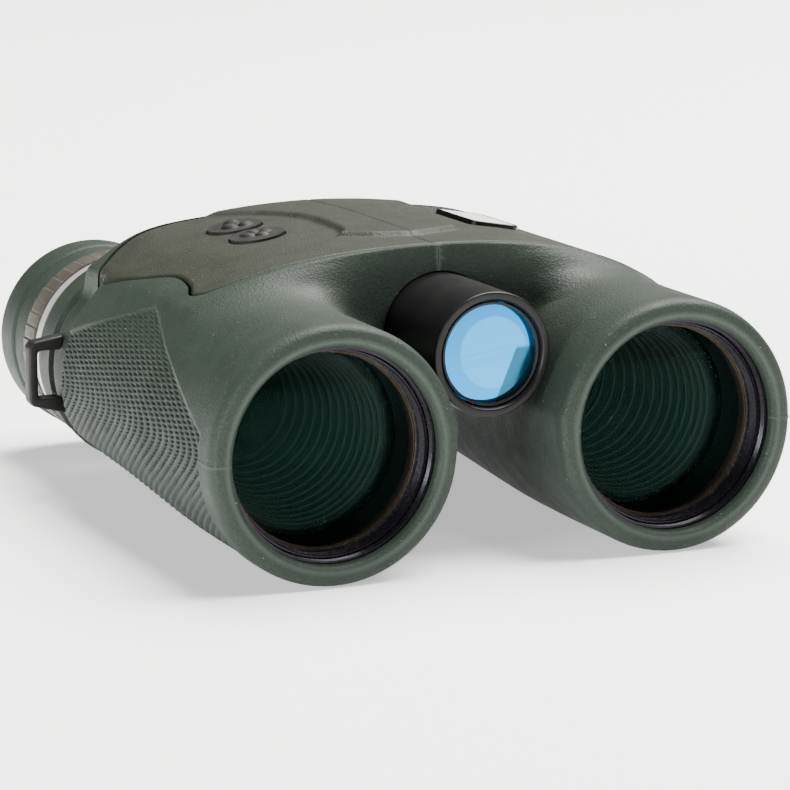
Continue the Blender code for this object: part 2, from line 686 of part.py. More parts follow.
def make_battery(parts, cutters):
    battery = turned(
        "battery",
        [
            (0, BATTERY[0]), (BATTERY_R, BATTERY[0]), (BATTERY_R, BATTERY[1] - 1.2), (3.0, BATTERY[1] - 1.2),
            (3.0, BATTERY[1]), (0, BATTERY[1]),
        ],
        HINGE_AXIS, "cell", parts, FEW_SEGMENTS,
    )
    seal = ring("battery_cap_seal", 8.9, 10.2, (130.3, 131.2), HINGE_AXIS, "seal_rubber", parts, FEW_SEGMENTS)
    cap = turned(
        "battery_cap",
        [(0, 124), (8.3, 124), (8.3, 131.5), (11.6, 131.5), (12.2, 132.1), (12.2, 135.4), (11.4, 136.2), (0, 136.2)],
        HINGE_AXIS, "black_metal", parts, FEW_SEGMENTS,
    )
    slot = (HINGE_Z - 0.9, HINGE_Z + 0.9)
    cut(cap, box("battery_cap_slot", (-9.0, 9.0), (135.0, 138.0), slot, None, cutters))
    return battery, seal, cap


# ---- top details -------------------------------------------------------------------------------------
def surface_tilt(x):
    """How far the top surface leans sideways at a distance from the centre plane."""
    return math.atan(2 * ARCH_QUADRATIC * x + 4 * ARCH_QUARTIC * x**3)


def oval_post(name, x, depth, low, high, radii, material, group, bevel=0.0):
    """An oval post standing square to the top surface, from low to high above it."""
    shape = bmesh.new()
    bmesh.ops.create_cone(
        shape, cap_ends=True, segments=24, radius1=MM, radius2=MM, depth=(high - low) * MM,
    )
    bmesh.ops.scale(shape, vec=(radii[0], radii[1], 1.0), verts=shape.verts)
    if bevel:
        rim = [e for e in shape.edges if all(v.co.z > 0 for v in e.verts)]
        bmesh.ops.bevel(shape, geom=rim, offset=bevel * MM, segments=2, affect="EDGES", profile=0.5)
    obj = mesh_object(name, shape)
    tilt = surface_tilt(abs(x)) * (1 if x > 0 else -1)
    normal = Vector((math.sin(tilt), 0, math.cos(tilt)))
    obj.location = world(x, depth, arch(abs(x))) + normal * (low + high) / 2 * MM
    obj.rotation_euler = (0, tilt, 0)
    return finish(obj, material, group)


def make_buttons(cover, armour, parts, cutters):
    """Two sprung buttons in the right cover, over their switch board."""
    buttons = []
    for name, depth in zip(("menu_button", "range_button"), BUTTON_DEPTHS):
        radii = (BUTTON_R_ACROSS, BUTTON_R)
        hole = [radius + GAP for radius in radii]
        buttons.append(oval_post(
            name, -BUTTON_X, depth, -3.4, BUTTON_PROUD, radii, "button_rubber", parts, bevel=0.7,
        ))
        cut(cover, oval_post(f"{name}_hole", -BUTTON_X, depth, -8.0, 6.0, hole, None, cutters))
    low = arch(BUTTON_X) - 6.6
    span = (BUTTON_DEPTHS[0] - 9.0, BUTTON_DEPTHS[1] + 9.0)
    across = (-BUTTON_X - 7.5, -BUTTON_X + 7.5)
    board = box("button_board", across, span, (low, low + 1.2), "board", parts)
    room = box(
        "button_board_room", (across[0] - GAP, across[1] + GAP), (span[0] - GAP, span[1] + GAP),
        (low - GAP, low + 12), None, cutters,
    )
    cut(armour, room)
    return buttons, board


def plate_block(name, x, depth, span, radii, material, group):
    """A block with rounded corners, standing square to the top surface."""
    shape = bmesh.new()
    bmesh.ops.create_cube(shape, size=1.0)
    size = Vector((2 * radii[0], 2 * radii[1], span[1] - span[0])) * MM
    bmesh.ops.scale(shape, vec=size, verts=shape.verts)
    upright = [e for e in shape.edges if abs(e.verts[0].co.z - e.verts[1].co.z) > 0.1 * MM]
    bmesh.ops.bevel(shape, geom=upright, offset=2.5 * MM, segments=4, affect="EDGES", profile=0.5)
    obj = mesh_object(name, shape)
    tilt = surface_tilt(x)
    normal = Vector((math.sin(tilt), 0, math.cos(tilt)))
    obj.location = world(x, depth, arch(x)) + normal * sum(span) / 2 * MM
    obj.rotation_euler = (0, tilt, 0)
    return finish(obj, material, group)


def make_plate(cover, parts, cutters):
    """A blank plate let into the left cover."""
    x, depth = PLATE_CENTRE
    radii = (PLATE_SIZE[0] / 2, PLATE_SIZE[1] / 2)
    plate = plate_block("name_plate", x, depth, PLATE_SPAN, radii, "black_metal", parts)
    hole = (radii[0] + GAP, radii[1] + GAP)
    cut(cover, plate_block("name_plate_seat", x, depth, (-1.2, 6.0), hole, None, cutters))
    return plate


# ---- assembly ----------------------------------------------------------------------------------------
def make_half(side, parts, cutters, frame):
    """Everything in one half; frame is the empty that the half's fixed pieces hang on."""
    name = side_name(side)
    armour, cover = make_body(side, parts, cutters)
    fixed = [armour, cover, make_chassis(side, parts, cutters), make_lug(side, parts, cutters)]
    fixed += make_optics(side, parts, cutters)
    for piece in fixed:
        attach(piece, frame)
    for piece in make_focus_group(side, parts):
        attach(piece, pivot_for(f"{name}_focus_slide", side, 68.0, parts, frame))
    attach(make_dioptre_ring(side, parts), pivot_for(f"{name}_dioptre_pivot", side, DIOPTRE[0], parts, frame))
    base, cup = make_eyecup(side, parts)
    twist = pivot_for(f"{name}_eyecup_pivot", side, CUP_BASE[0], parts, frame)
    attach(base, twist)
    attach(cup, pivot_for(f"{name}_eyecup_slide", side, CUP_FRONT, parts, twist))
    return armour, cover


def pivot_for(name, side, depth, group, parent):
    """The named empty on a barrel axis, made once."""
    known = bpy.data.objects.get(name)
    return known or pivot(name, side * BARREL_X, depth, 0.0, group, parent)


def main():
    clear_scene()
    parts = new_collection("rangefinding_binocular")
    cutters = new_collection("cutters")
    right_frame = pivot("right_half_frame", 0, 70, HINGE_Z, parts)
    left_frame = pivot("left_half_hinge", 0, 70, HINGE_Z, parts, right_frame)

    right_armour, right_cover = make_half(-1, parts, cutters, right_frame)
    left_cover = make_half(1, parts, cutters, left_frame)[1]

    battery, seal, cap = make_battery(parts, cutters)
    buttons, board = make_buttons(right_cover, right_armour, parts, cutters)
    for piece in make_laser(parts) + [battery, battery_spring(parts), board]:
        attach(piece, right_frame)
    for button in buttons:
        attach(button, right_frame)
    attach(make_plate(left_cover, parts, cutters), left_frame)

    hub, grip, nut = make_focus_wheel(parts)
    wheel = pivot("focus_wheel_axis", 0, WHEEL[0], HINGE_Z, parts, right_frame)
    attach(hub, wheel)
    attach(grip, wheel)
    attach(nut, pivot("focus_nut_slide", 0, 108, HINGE_Z, parts, right_frame))
    cap_axis = pivot("battery_cap_axis", 0, 131, HINGE_Z, parts, right_frame)
    attach(cap, cap_axis)
    attach(seal, cap_axis)


main()
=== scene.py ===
"""Looks of the rangefinding binocular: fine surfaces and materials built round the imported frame.

Frame: +Z up, -Y towards the objectives. Lengths in this file are millimetres: a depth is a distance
behind the front faces of the barrels and a height is measured from the barrel axes. world() turns them
into the frame's metres. Side is -1 for the right half (-X) and +1 for the left half (+X).
"""

import math

import bmesh
import bpy
import numpy as np
from mathutils import Matrix, Vector
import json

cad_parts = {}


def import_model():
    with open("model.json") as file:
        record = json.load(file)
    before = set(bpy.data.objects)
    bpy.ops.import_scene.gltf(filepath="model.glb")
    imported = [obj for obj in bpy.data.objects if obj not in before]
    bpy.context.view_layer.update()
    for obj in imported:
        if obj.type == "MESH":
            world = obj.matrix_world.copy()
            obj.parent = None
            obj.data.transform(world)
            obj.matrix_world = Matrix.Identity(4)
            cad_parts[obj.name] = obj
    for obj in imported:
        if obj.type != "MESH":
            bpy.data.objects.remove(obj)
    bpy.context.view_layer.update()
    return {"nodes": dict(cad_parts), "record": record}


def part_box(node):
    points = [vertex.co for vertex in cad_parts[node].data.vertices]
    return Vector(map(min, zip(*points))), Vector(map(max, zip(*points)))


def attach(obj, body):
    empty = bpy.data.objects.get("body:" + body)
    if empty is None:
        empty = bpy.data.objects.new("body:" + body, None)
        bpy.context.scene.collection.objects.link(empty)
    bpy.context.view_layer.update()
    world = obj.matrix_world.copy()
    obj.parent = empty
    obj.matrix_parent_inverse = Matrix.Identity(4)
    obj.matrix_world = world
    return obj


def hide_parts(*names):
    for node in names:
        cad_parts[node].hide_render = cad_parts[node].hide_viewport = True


MM = 0.001
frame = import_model()


def node_box(node):
    """Lowest and highest corner of a CAD node, in millimetres."""
    low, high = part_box(node)
    return low / MM, high / MM


# ---- the frame's own dimensions ------------------------------------------------------------------
FRONT_Y = node_box("right_armour")[0].y
LENGTH = -2 * FRONT_Y
LENS_BOX = node_box("left_objective_lens")
BARREL_X = (LENS_BOX[0].x + LENS_BOX[1].x) / 2
BASE = (LENS_BOX[0].z + LENS_BOX[1].z) / 2
TUBE_BOX = node_box("laser_tube")
HINGE_Z = (TUBE_BOX[0].z + TUBE_BOX[1].z) / 2 - BASE
HINGE_AXIS = (0.0, HINGE_Z)
SIDES = {"right": -1, "left": 1}
HALF_GAP = 0.06                # each skin's clearance to the centre plane; the frame's is a little wider
GAP = 0.3                      # clearance between neighbouring pieces

# ---- body shape, as the frame has it -------------------------------------------------------------
LIP_R = 26.5
TOP_HEIGHT = 34.9
ARCH_QUADRATIC = 0.0023
ARCH_QUARTIC = 6.2e-7
SIDE_R = 27.0
BELLY_FRONT_R, BELLY_REAR_R = 26.2, 22.9
BELLY_FRONT_DEPTH, BELLY_REAR_DEPTH = 45.0, 100.0
PAD_END = (94.0, 98.0)
SIDE_ANGLES = (-52.0, -14.0)
BRIDGE_FRONT = 33.2
FRONT_EDGE = 37.0
FRONT_EDGE_SWEEP = 0.0026
SHOULDER_START = 20.0
SHOULDER = ((0.0, 0.0), (0.38, 0.07), (0.7, 0.36), (0.92, 0.86), (1.0, 1.0))
BODY_END = 112.5
REAR_SETTLE, REAR_SETTLE_START, SETTLE_SHARE = 1.2, 84.0, 0.7
REAR_CORNER_CUT = 0.045
SLEEVE_R, SLEEVE_END = 22.5, 124.2
SEAM_X = -3.0                  # the section runs this far past the centre plane before it is cut

COVER_THICKNESS = 2.4
COVER_EDGE_DROP = 2.8
COVER_ROWS = (
    (39.2, 6.0), (40.4, 22.0), (42.4, 35.0), (44.6, 43.5), (47.0, 48.0), (50.0, 49.6), (57.0, 48.0),
    (66.0, 47.2), (80.0, 51.4), (88.0, 53.6), (94.0, 54.8), (99.0, 54.2), (104.0, 51.0), (108.0, 46.8),
    (109.8, 42.4), (110.4, 36.0),
)
COVER_INSET = 0.3              # the groove round the cover is wider than its clearance by this
PLATEAU_RISE = 0.95
COVER_ROLL, COVER_ROLL_DROP = 0.9, 0.5    # width and drop of its rounded border
SEAM_ROLL = 0.12               # how far the skins drop at the seam between the halves
PLATEAU_FRONT = ((50.4, 0.0), (50.7, 2.0), (53.0, 7.5), (58.2, 14.6))     # depth, half-width
PLATEAU_SIDE = (               # depth, half-width
    (58.2, 14.6), (60.5, 12.8), (66.0, 11.8), (80.0, 12.0), (88.0, 13.4), (94.0, 15.6), (100.5, 19.2),
    (111.0, 28.0),
)
PLATEAU_STEP = 1.2 / 0.85      # how wide its front edge slopes
PLATEAU_SLOPE = (              # depth, how wide its side slopes
    (58.0, 1.3), (64.0, 2.2), (75.0, 3.0), (95.0, 3.2), (106.0, 5.0),
)

TUBE_R, TUBE_FRONT, TUBE_REAR = 12.9, 9.6, 106.0
AXLE_R, AXLE_REAR = 10.6, 130.0
KNUCKLE_R, KNUCKLE_BORE_R = 15.0, 13.15
DRUM_R, DRUM_FRONT = 15.35, 38.2
KNUCKLES = {-1: ((38.8, 50.0), (66.0, 78.0), (94.0, 104.5)), 1: ((51.0, 65.0), (79.0, 93.0))}
ARM_HEIGHT = 9.0
CHASSIS_R, CHASSIS_REAR_R, CHASSIS_STEP = 22.5, 21.2, 96.0
CHASSIS_FRONT, CHASSIS_REAR = 2.6, 111.4
COLLAR_R, COLLAR = 21.5, (124.5, 129.7)
DIOPTRE_R, DIOPTRE = 22.0, (130.0, 137.2)
CUP_BASE_R, CUP_BASE = 21.5, (137.6, 144.4)
CUP_R, CUP_FRONT = 21.9, 144.8
CUP_SLEEVE_R, CUP_SLEEVE_FRONT = (20.55, 20.95), 132.5
WHEEL, WHEEL_R, WHEEL_HUB_R, WHEEL_RIBS = (111.6, 129.4), 15.0, 12.7, 16
BUTTON_X, BUTTON_DEPTHS = 26.0, {"menu_button": 74.4, "range_button": 88.2}
BUTTON_RADII = (6.0, 6.3)
PLATE_CENTRE, PLATE_SIZE, PLATE_CORNER = (27.2, 77.4), (12.0, 21.5), 2.5
BAFFLE_SPAN = (20.3, 59.0)
BAFFLE_R, BAFFLE_BORE, BAFFLE_STEP = 19.5, (18.8, 12.6), 0.75
BAFFLE_TAPER = 37.5            # length over which its bore narrows
DIOPTRE_FACETS = 44
LUG_SPAN = (106.6, 110.6)
LUG_OUTLINE = (                # x, height
    (59.3, -9.2), (66.6, -7.3), (67.6, -6.2), (67.6, 6.0), (66.6, 7.2), (59.6, 8.4),
)
LUG_WAY = (65.6, -5.4, 5.2)    # the strap's way through: outer x, lower and upper height
LUG_CLEAR_R = 23.1             # its feet reach a little into the barrel's skin

# ---- grip pads -----------------------------------------------------------------------------------
PAD_OUTLINE = (                # (arc from the barrel's mid-height, depth), once round the pad
    (11.0, 97.2), (25.1, 60.5), (24.2, 57.0), (5.6, 8.0), (-35.8, 8.0), (-35.8, 97.2),
)
PAD_RECESS = 0.4               # the pad's ground lies this far under the armour
PIT_DEPTH = 0.45
RIB_DEPTH = 0.5
RIB_PITCH = 3.45               # from rib to rib along the barrel
PIT_PITCH = 2.0                # from pit to pit round the barrel, in degrees
CHEVRON_SLOPE = 0.9            # the ribs run back by this much a degree, up and down from mid-height
CHEVRON_ROUND = 8.0            # degrees over which they turn there

LATHE_STEPS = 144              # facets round a turned piece
PAD_DEGREES = 0.5              # the armour's grid round the pad
TOP_STEP, BELLY_STEP = 1.4, 2.4           # and elsewhere, in millimetres
REFERENCE_RING = 9             # the control ring that the grid's columns are measured on


# ---- numbers -------------------------------------------------------------------------------------
def world(x, depth, height):
    """A point in metres, from millimetres across, behind the front faces and above the barrel axes."""
    return Vector((x, depth + FRONT_Y, height + BASE)) * MM


def to_world(points):
    """The same for an array whose last axis is (x, depth, height)."""
    return (points + np.array([0.0, FRONT_Y, BASE])) * MM


def from_world(points):
    return points / MM - np.array([0.0, FRONT_Y, BASE])


def blend(value, low, high):
    """0 below low, 1 above high, smooth between."""
    t = np.clip((value - low) / (high - low), 0.0, 1.0)
    return t * t * (3 - 2 * t)


def barrel_radius(x, height):
    """Distance from the nearer barrel's axis."""
    return np.hypot(np.abs(x) - BARREL_X, height)


def bump_at(value, centre, width):
    return np.exp(-(((value - centre) / width) ** 2))


def arch(x):
    """Height of the top surface at a distance from the centre plane."""
    return TOP_HEIGHT - ARCH_QUADRATIC * x**2 - ARCH_QUARTIC * x**4


def surface_tilt(x):
    return math.atan(2 * ARCH_QUADRATIC * x + 4 * ARCH_QUARTIC * x**3)


def settle(x, depth):
    return REAR_SETTLE * blend(depth, REAR_SETTLE_START, BODY_END) * (1 - blend(x, 20.0, 40.0))


def knots_of(points):
    """Distance along a row of points: axis 0 runs along it."""
    steps = np.linalg.norm(np.diff(points, axis=0), axis=-1)
    return np.concatenate([np.zeros_like(steps[:1]), np.cumsum(steps, axis=0)])


def through(points, knots, counts, monotone):
    """A finer row through points (axis 0), with counts[i] steps in interval i; knots may differ by column."""
    while knots.ndim < points.ndim:
        knots = knots[..., None]
    width = np.maximum(np.diff(knots, axis=0), 1e-9)
    rise = np.diff(points, axis=0) / width
    slope = np.empty_like(points)
    slope[0], slope[-1] = rise[0], rise[-1]
    before, after = width[:-1], width[1:]
    if monotone:
        mean = (before + after) / 2
        w1, w2 = (mean + after / 2) / (3 * mean / 2), (mean + before / 2) / (3 * mean / 2)
        same = rise[:-1] * rise[1:] > 0
        safe = np.where(same, rise[:-1], 1.0), np.where(same, rise[1:], 1.0)
        slope[1:-1] = np.where(same, 2 / (w1 / safe[0] + w2 / safe[1]), 0.0)
    else:
        slope[1:-1] = (rise[:-1] * after + rise[1:] * before) / (before + after)
    rows = []
    for i, count in enumerate(counts):
        for t in np.arange(count) / count:
            a, b = 2 * t**3 - 3 * t**2 + 1, 3 * t**2 - 2 * t**3
            c, d = (t**3 - 2 * t**2 + t) * width[i], (t**3 - t**2) * width[i]
            rows.append(a * points[i] + b * points[i + 1] + c * slope[i] + d * slope[i + 1])
    rows.append(points[-1])
    return np.array(rows)


# ---- meshes --------------------------------------------------------------------------------------
def link(name, data):
    obj = bpy.data.objects.new(name, data)
    bpy.context.scene.collection.objects.link(obj)
    return obj


def smooth(obj, angle=38):
    obj.data.shade_smooth()
    obj.data.set_sharp_from_angle(angle=math.radians(angle))
    return obj


def link_shape(name, shape):
    """Link a bmesh as an object, and free it."""
    mesh = bpy.data.meshes.new(name)
    shape.to_mesh(mesh)
    shape.free()
    return link(name, mesh)


def face_out(obj):
    shape = bmesh.new()
    shape.from_mesh(obj.data)
    bmesh.ops.recalc_face_normals(shape, faces=shape.faces)
    shape.to_mesh(obj.data)
    shape.free()
    return obj


def grid(name, rows, round_rows=False):
    """A closed skin over an array of points (row, column, xyz) in metres.

    Columns always go round. Rows go round too, or their two ends get a cap.
    """
    height, width = rows.shape[:2]
    index = np.arange(height * width).reshape(height, width)
    below = np.roll(index, -1, 0) if round_rows else index[1:]
    above = index if round_rows else index[:-1]
    quads = np.stack([above, np.roll(above, -1, 1), np.roll(below, -1, 1), below], -1)
    faces = quads.reshape(-1, 4).tolist()
    if not round_rows:
        faces += [index[0].tolist(), index[-1].tolist()]
    mesh = bpy.data.meshes.new(name)
    mesh.from_pydata(rows.reshape(-1, 3), [], faces)
    return face_out(link(name, mesh))


def rounded(profile, radius, steps=4):
    """A (radius, depth) outline with its corners rounded; a corner on the axis stays."""
    points = [np.array(p, float) for p in profile]
    result = []
    for i, corner in enumerate(points):
        if corner[0] == 0.0:
            result.append(tuple(corner))
            continue
        before, after = points[i - 1] - corner, points[(i + 1) % len(points)] - corner
        reach_a = min(radius, np.linalg.norm(before) * 0.45)
        reach_b = min(radius, np.linalg.norm(after) * 0.45)
        a = corner + before / np.linalg.norm(before) * reach_a
        b = corner + after / np.linalg.norm(after) * reach_b
        for step in range(steps + 1):
            t = step / steps
            result.append(tuple(a * (1 - t) ** 2 + corner * 2 * t * (1 - t) + b * t**2))
    return result


def band(inner, outer, span):
    """The (radius, depth) outline of a plain ring."""
    return [(inner, span[0]), (outer, span[0]), (outer, span[1]), (inner, span[1])]


def lathe(name, profile, axis, steps=LATHE_STEPS, radius_at=None):
    """Turn a closed (radius, depth) outline about a Y axis; radius_at(radius, depth, angle) shapes it."""
    angles = 2 * math.pi * np.arange(steps) / steps
    verts, faces, ring_ids = [], [], []
    for radius, depth in profile:
        if radius == 0.0:
            ring_ids.append([len(verts)])
            verts.append(world(axis[0], depth, axis[1]))
            continue
        ring_ids.append(list(range(len(verts), len(verts) + steps)))
        for angle in angles:
            r = radius_at(radius, depth, angle) if radius_at else radius
            verts.append(world(axis[0] + r * math.cos(angle), depth, axis[1] + r * math.sin(angle)))
    for near, far in zip(ring_ids, ring_ids[1:] + ring_ids[:1]):
        for i in range(steps):
            j = (i + 1) % steps
            if len(near) == 1 and len(far) == 1:
                continue
            if len(near) == 1:
                faces.append((near[0], far[i], far[j]))
            elif len(far) == 1:
                faces.append((near[i], far[0], near[j]))
            else:
                faces.append((near[i], near[j], far[j], far[i]))
    mesh = bpy.data.meshes.new(name)
    mesh.from_pydata(verts, [], faces)
    return smooth(face_out(link(name, mesh)))


def cube(size):
    """A bmesh box about the origin; its size is in metres."""
    shape = bmesh.new()
    bmesh.ops.create_cube(shape, size=1.0)
    bmesh.ops.scale(shape, vec=size, verts=shape.verts)
    return shape


def round_edges(shape, edges, width, segments=3):
    """Round some edges of a bmesh; width is in millimetres."""
    bmesh.ops.bevel(shape, geom=edges, offset=width * MM, segments=segments, affect="EDGES", profile=0.5)


def box(name, low, high, bevel=0.0):
    """A box between two corners (x, depth, height)."""
    a, b = world(*low), world(*high)
    shape = cube(b - a)
    bmesh.ops.translate(shape, vec=(a + b) / 2, verts=shape.verts)
    if bevel:
        round_edges(shape, shape.edges[:], bevel)
    return link_shape(name, shape)


def evaluated_mesh(obj):
    """A new mesh: the object's own with its modifiers applied."""
    bpy.context.view_layer.update()
    return bpy.data.meshes.new_from_object(obj.evaluated_get(bpy.context.evaluated_depsgraph_get()))


def cut(obj, cutter, operation="DIFFERENCE"):
    """Apply a boolean at once and remove the cutter; the manifold solver copes with the dense meshes here."""
    boolean = obj.modifiers.new("cut", "BOOLEAN")
    boolean.operation = operation
    boolean.solver = "MANIFOLD"
    boolean.object = cutter
    mesh = evaluated_mesh(obj)
    if not mesh.polygons:
        boolean.solver = "EXACT"
        mesh = evaluated_mesh(obj)
    obj.modifiers.clear()
    obj.data = mesh
    bpy.data.objects.remove(cutter, do_unlink=True)
    return obj


def applied(obj):
    """Apply an object's modifiers."""
    mesh = evaluated_mesh(obj)
    obj.modifiers.clear()
    obj.data = mesh
    return obj


def paint(obj, name, function):
    """A value on each vertex, from its x, depth and height."""
    co = np.empty(len(obj.data.vertices) * 3)
    obj.data.vertices.foreach_get("co", co)
    spots = from_world(co.reshape(-1, 3))
    values = np.clip(function(spots[:, 0], spots[:, 1], spots[:, 2]), 0.0, 1.0)
    attribute = obj.data.attributes.new(name, "FLOAT", "POINT")
    attribute.data.foreach_set("value", values.astype(np.float32))


# ---- materials -----------------------------------------------------------------------------------
class Shade:
    """A Principled material under construction, with short ways to add nodes."""

    def __init__(self, name, **values):
        self.material = bpy.data.materials.new(name)
        self.material.use_nodes = True
        self.tree = self.material.node_tree
        self.shader = self.tree.nodes["Principled BSDF"]
        for socket, value in values.items():
            self.shader.inputs[socket.replace("_", " ")].default_value = value
        self.place = self.node("ShaderNodeTexCoord").outputs["Object"]

    def node(self, kind, **settings):
        made = self.tree.nodes.new(kind)
        for key, value in settings.items():
            setattr(made, key, value)
        return made

    def plug(self, source, socket):
        self.tree.links.new(source, socket)

    def set(self, socket, source):
        self.plug(source, self.shader.inputs[socket])

    def noise(self, size, detail=3.0, rough=0.5, stretch=None):
        """Noise whose features are about size millimetres across."""
        texture = self.node("ShaderNodeTexNoise")
        texture.inputs["Scale"].default_value = 1.0 / (size * MM)
        texture.inputs["Detail"].default_value = detail
        texture.inputs["Roughness"].default_value = rough
        place = self.place
        if stretch:
            mapping = self.node("ShaderNodeMapping")
            mapping.inputs["Scale"].default_value = stretch
            self.plug(place, mapping.inputs["Vector"])
            place = mapping.outputs["Vector"]
        self.plug(place, texture.inputs["Vector"])
        return texture.outputs["Fac"]

    def clouds(self, size, a, b, detail=4):
        """A colour that drifts between two, over patches about size millimetres across."""
        return self.mix(self.spread(self.noise(size, detail), 0.35, 0.68), a, b)

    def cells(self, size):
        texture = self.node("ShaderNodeTexVoronoi")
        texture.inputs["Scale"].default_value = 1.0 / (size * MM)
        self.plug(self.place, texture.inputs["Vector"])
        return texture.outputs["Distance"]

    def spread(self, source, low, high, to_low=0.0, to_high=1.0):
        """Stretch part of a value's range to another."""
        change = self.node("ShaderNodeMapRange")
        for socket, value in zip(("From Min", "From Max", "To Min", "To Max"), (low, high, to_low, to_high)):
            change.inputs[socket].default_value = value
        self.plug(source, change.inputs["Value"])
        return change.outputs["Result"]

    def mix(self, factor, a, b):
        """Mix two colours; a factor or colour is a value or a socket."""
        mixer = self.node("ShaderNodeMix", data_type="RGBA")
        sockets = (mixer.inputs[0], mixer.inputs[6], mixer.inputs[7])
        for value, socket in zip((factor, a, b), sockets):
            if isinstance(value, bpy.types.NodeSocket):
                self.plug(value, socket)
            else:
                socket.default_value = value if isinstance(value, float) else (*value, 1.0)
        return mixer.outputs[2]

    def calc(self, operation, a, b=0.0):
        maths = self.node("ShaderNodeMath", operation=operation)
        for value, socket in zip((a, b), maths.inputs):
            if isinstance(value, bpy.types.NodeSocket):
                self.plug(value, socket)
            else:
                socket.default_value = value
        return maths.outputs[0]

    def attribute(self, name):
        return self.node("ShaderNodeAttribute", attribute_name=name).outputs["Fac"]

    def bump(self, *heights, distance=0.05):
        """Chain bumps; each is (height socket, strength)."""
        normal = None
        for height, strength in heights:
            made = self.node("ShaderNodeBump")
            made.inputs["Strength"].default_value = strength
            made.inputs["Distance"].default_value = distance * MM
            self.plug(height, made.inputs["Height"])
            if normal:
                self.plug(normal, made.inputs["Normal"])
            normal = made.outputs["Normal"]
        self.set("Normal", normal)


def rubber(name, base, fade, wear_and_highlight=(0.085, 0.11, 0.095)):
    """Moulded rubber with a fine stipple, pale with scuffs and painted highlights where those attributes are
    painted, darker with painted shade and some dirt where deep is.
    """
    shade = Shade(name, Roughness=0.55, Specular_IOR_Level=0.17)
    colour = shade.clouds(16, base, fade)
    stipple = shade.cells(0.46)
    grain = shade.noise(0.3, 2, 0.6)
    colour = shade.mix(shade.spread(stipple, 0.05, 0.5, 0.5, 0.0), colour, tuple(c * 1.8 for c in fade))
    colour = shade.mix(shade.spread(grain, 0.35, 0.7, 0.0, 0.35), colour, tuple(c * 1.7 for c in fade))
    # Painted shade with some dirt: the pad's pits and valleys, the groove round the cover and the slopes of
    # its raised field go darker, down to a fifth of the base.
    shade_and_dirt = shade.calc("MULTIPLY", shade.attribute("deep"), 0.8)
    colour = shade.mix(shade_and_dirt, colour, tuple(c * 0.2 for c in base))
    # Pale scuffs where worn, painted highlights on edges and crests, and painted highlight lines from the
    # line attribute.
    scuff = shade.spread(shade.noise(0.5, 7, 0.9, (1, 1, 0.6)), 0.56, 0.7)
    rub_and_highlight = shade.calc("MULTIPLY", shade.attribute("wear_and_highlight"), scuff)
    colour = shade.mix(shade.calc("MAXIMUM", rub_and_highlight, shade.attribute("line")), colour, wear_and_highlight)
    specks = shade.spread(shade.noise(0.5, 1, 0.3), 0.79, 0.805)
    colour = shade.mix(shade.calc("MULTIPLY", specks, 0.45), colour, (0.34, 0.36, 0.32))
    shade.set("Base Color", colour)
    shade.set("Roughness", shade.spread(shade.noise(6, 4), 0.3, 0.7, 0.48, 0.62))
    shade.bump((stipple, 0.8), (grain, 0.4), distance=0.09)
    return shade.material


def baffle_black(name):
    """Matt black anodising inside the barrel, with a painted highlight, a greyer colour, on the tips of its
    rings.
    """
    shade = Shade(name, Specular_IOR_Level=0.4)
    colour = shade.clouds(4, (0.003, 0.005, 0.005), (0.006, 0.009, 0.009), 3)
    # Painted highlight: the ring tips take a greyer colour.
    colour = shade.mix(shade.attribute("wear_and_highlight"), colour, (0.05, 0.07, 0.07))
    shade.set("Base Color", colour)
    shade.set("Roughness", shade.spread(shade.noise(2, 3), 0.3, 0.7, 0.4, 0.55))
    return shade.material


def metal(name, base, other, roughness, metallic=0.7, streak=None, grain=0.8, wear_and_highlight=(0.3, 0.29, 0.28)):
    """Anodised or painted metal, with fine tool marks along streak and paint rubbed off where worn."""
    shade = Shade(name, Metallic=metallic, Specular_IOR_Level=0.25)
    colour = shade.clouds(9, base, other)
    marks = shade.noise(grain, 3, 0.6, streak)
    light = tuple(min(c * 1.4, 1.0) for c in other)
    colour = shade.mix(shade.spread(marks, 0.35, 0.7, 0.0, 0.3), colour, light)
    scuff = shade.spread(shade.noise(0.5, 6, 0.85), 0.55, 0.7)
    colour = shade.mix(shade.calc("MULTIPLY", shade.attribute("wear_and_highlight"), scuff), colour, wear_and_highlight)
    shade.set("Base Color", colour)
    shade.set("Roughness", shade.spread(marks, 0.3, 0.7, roughness * 0.8, roughness * 1.25))
    shade.bump((marks, 0.25), distance=0.03)
    return shade.material


def plastic(name, base, other, roughness=0.5, grain=0.5):
    """Satin moulded plastic."""
    shade = Shade(name, Specular_IOR_Level=0.2)
    colour = shade.clouds(5, base, other)
    grains = shade.noise(grain, 2, 0.6)
    colour = shade.mix(shade.spread(grains, 0.35, 0.75, 0.0, 0.4), colour, tuple(c * 1.7 for c in other))
    shade.set("Base Color", colour)
    shade.set("Roughness", shade.spread(shade.noise(3, 4), 0.3, 0.7, roughness * 0.85, roughness * 1.2))
    shade.bump((grains, 0.3), distance=0.05)
    return shade.material


def coated_glass(name, deep, edge, alpha, reflect, tint):
    """Coated lens glass: dark, with a faint tint that drifts over broad patches, and a few specks of dust."""
    shade = Shade(name, Roughness=0.04, Alpha=alpha, Specular_IOR_Level=reflect, Specular_Tint=(*tint, 1.0))
    colour = shade.mix(shade.spread(shade.noise(24, 1), 0.4, 0.6), deep, edge)
    dust = shade.spread(shade.noise(0.5, 1, 0.3), 0.785, 0.80)
    shade.set("Base Color", shade.mix(dust, colour, (0.4, 0.42, 0.4)))
    shade.set("Roughness", shade.spread(shade.noise(8, 3), 0.4, 0.7, 0.03, 0.09))
    return shade.material


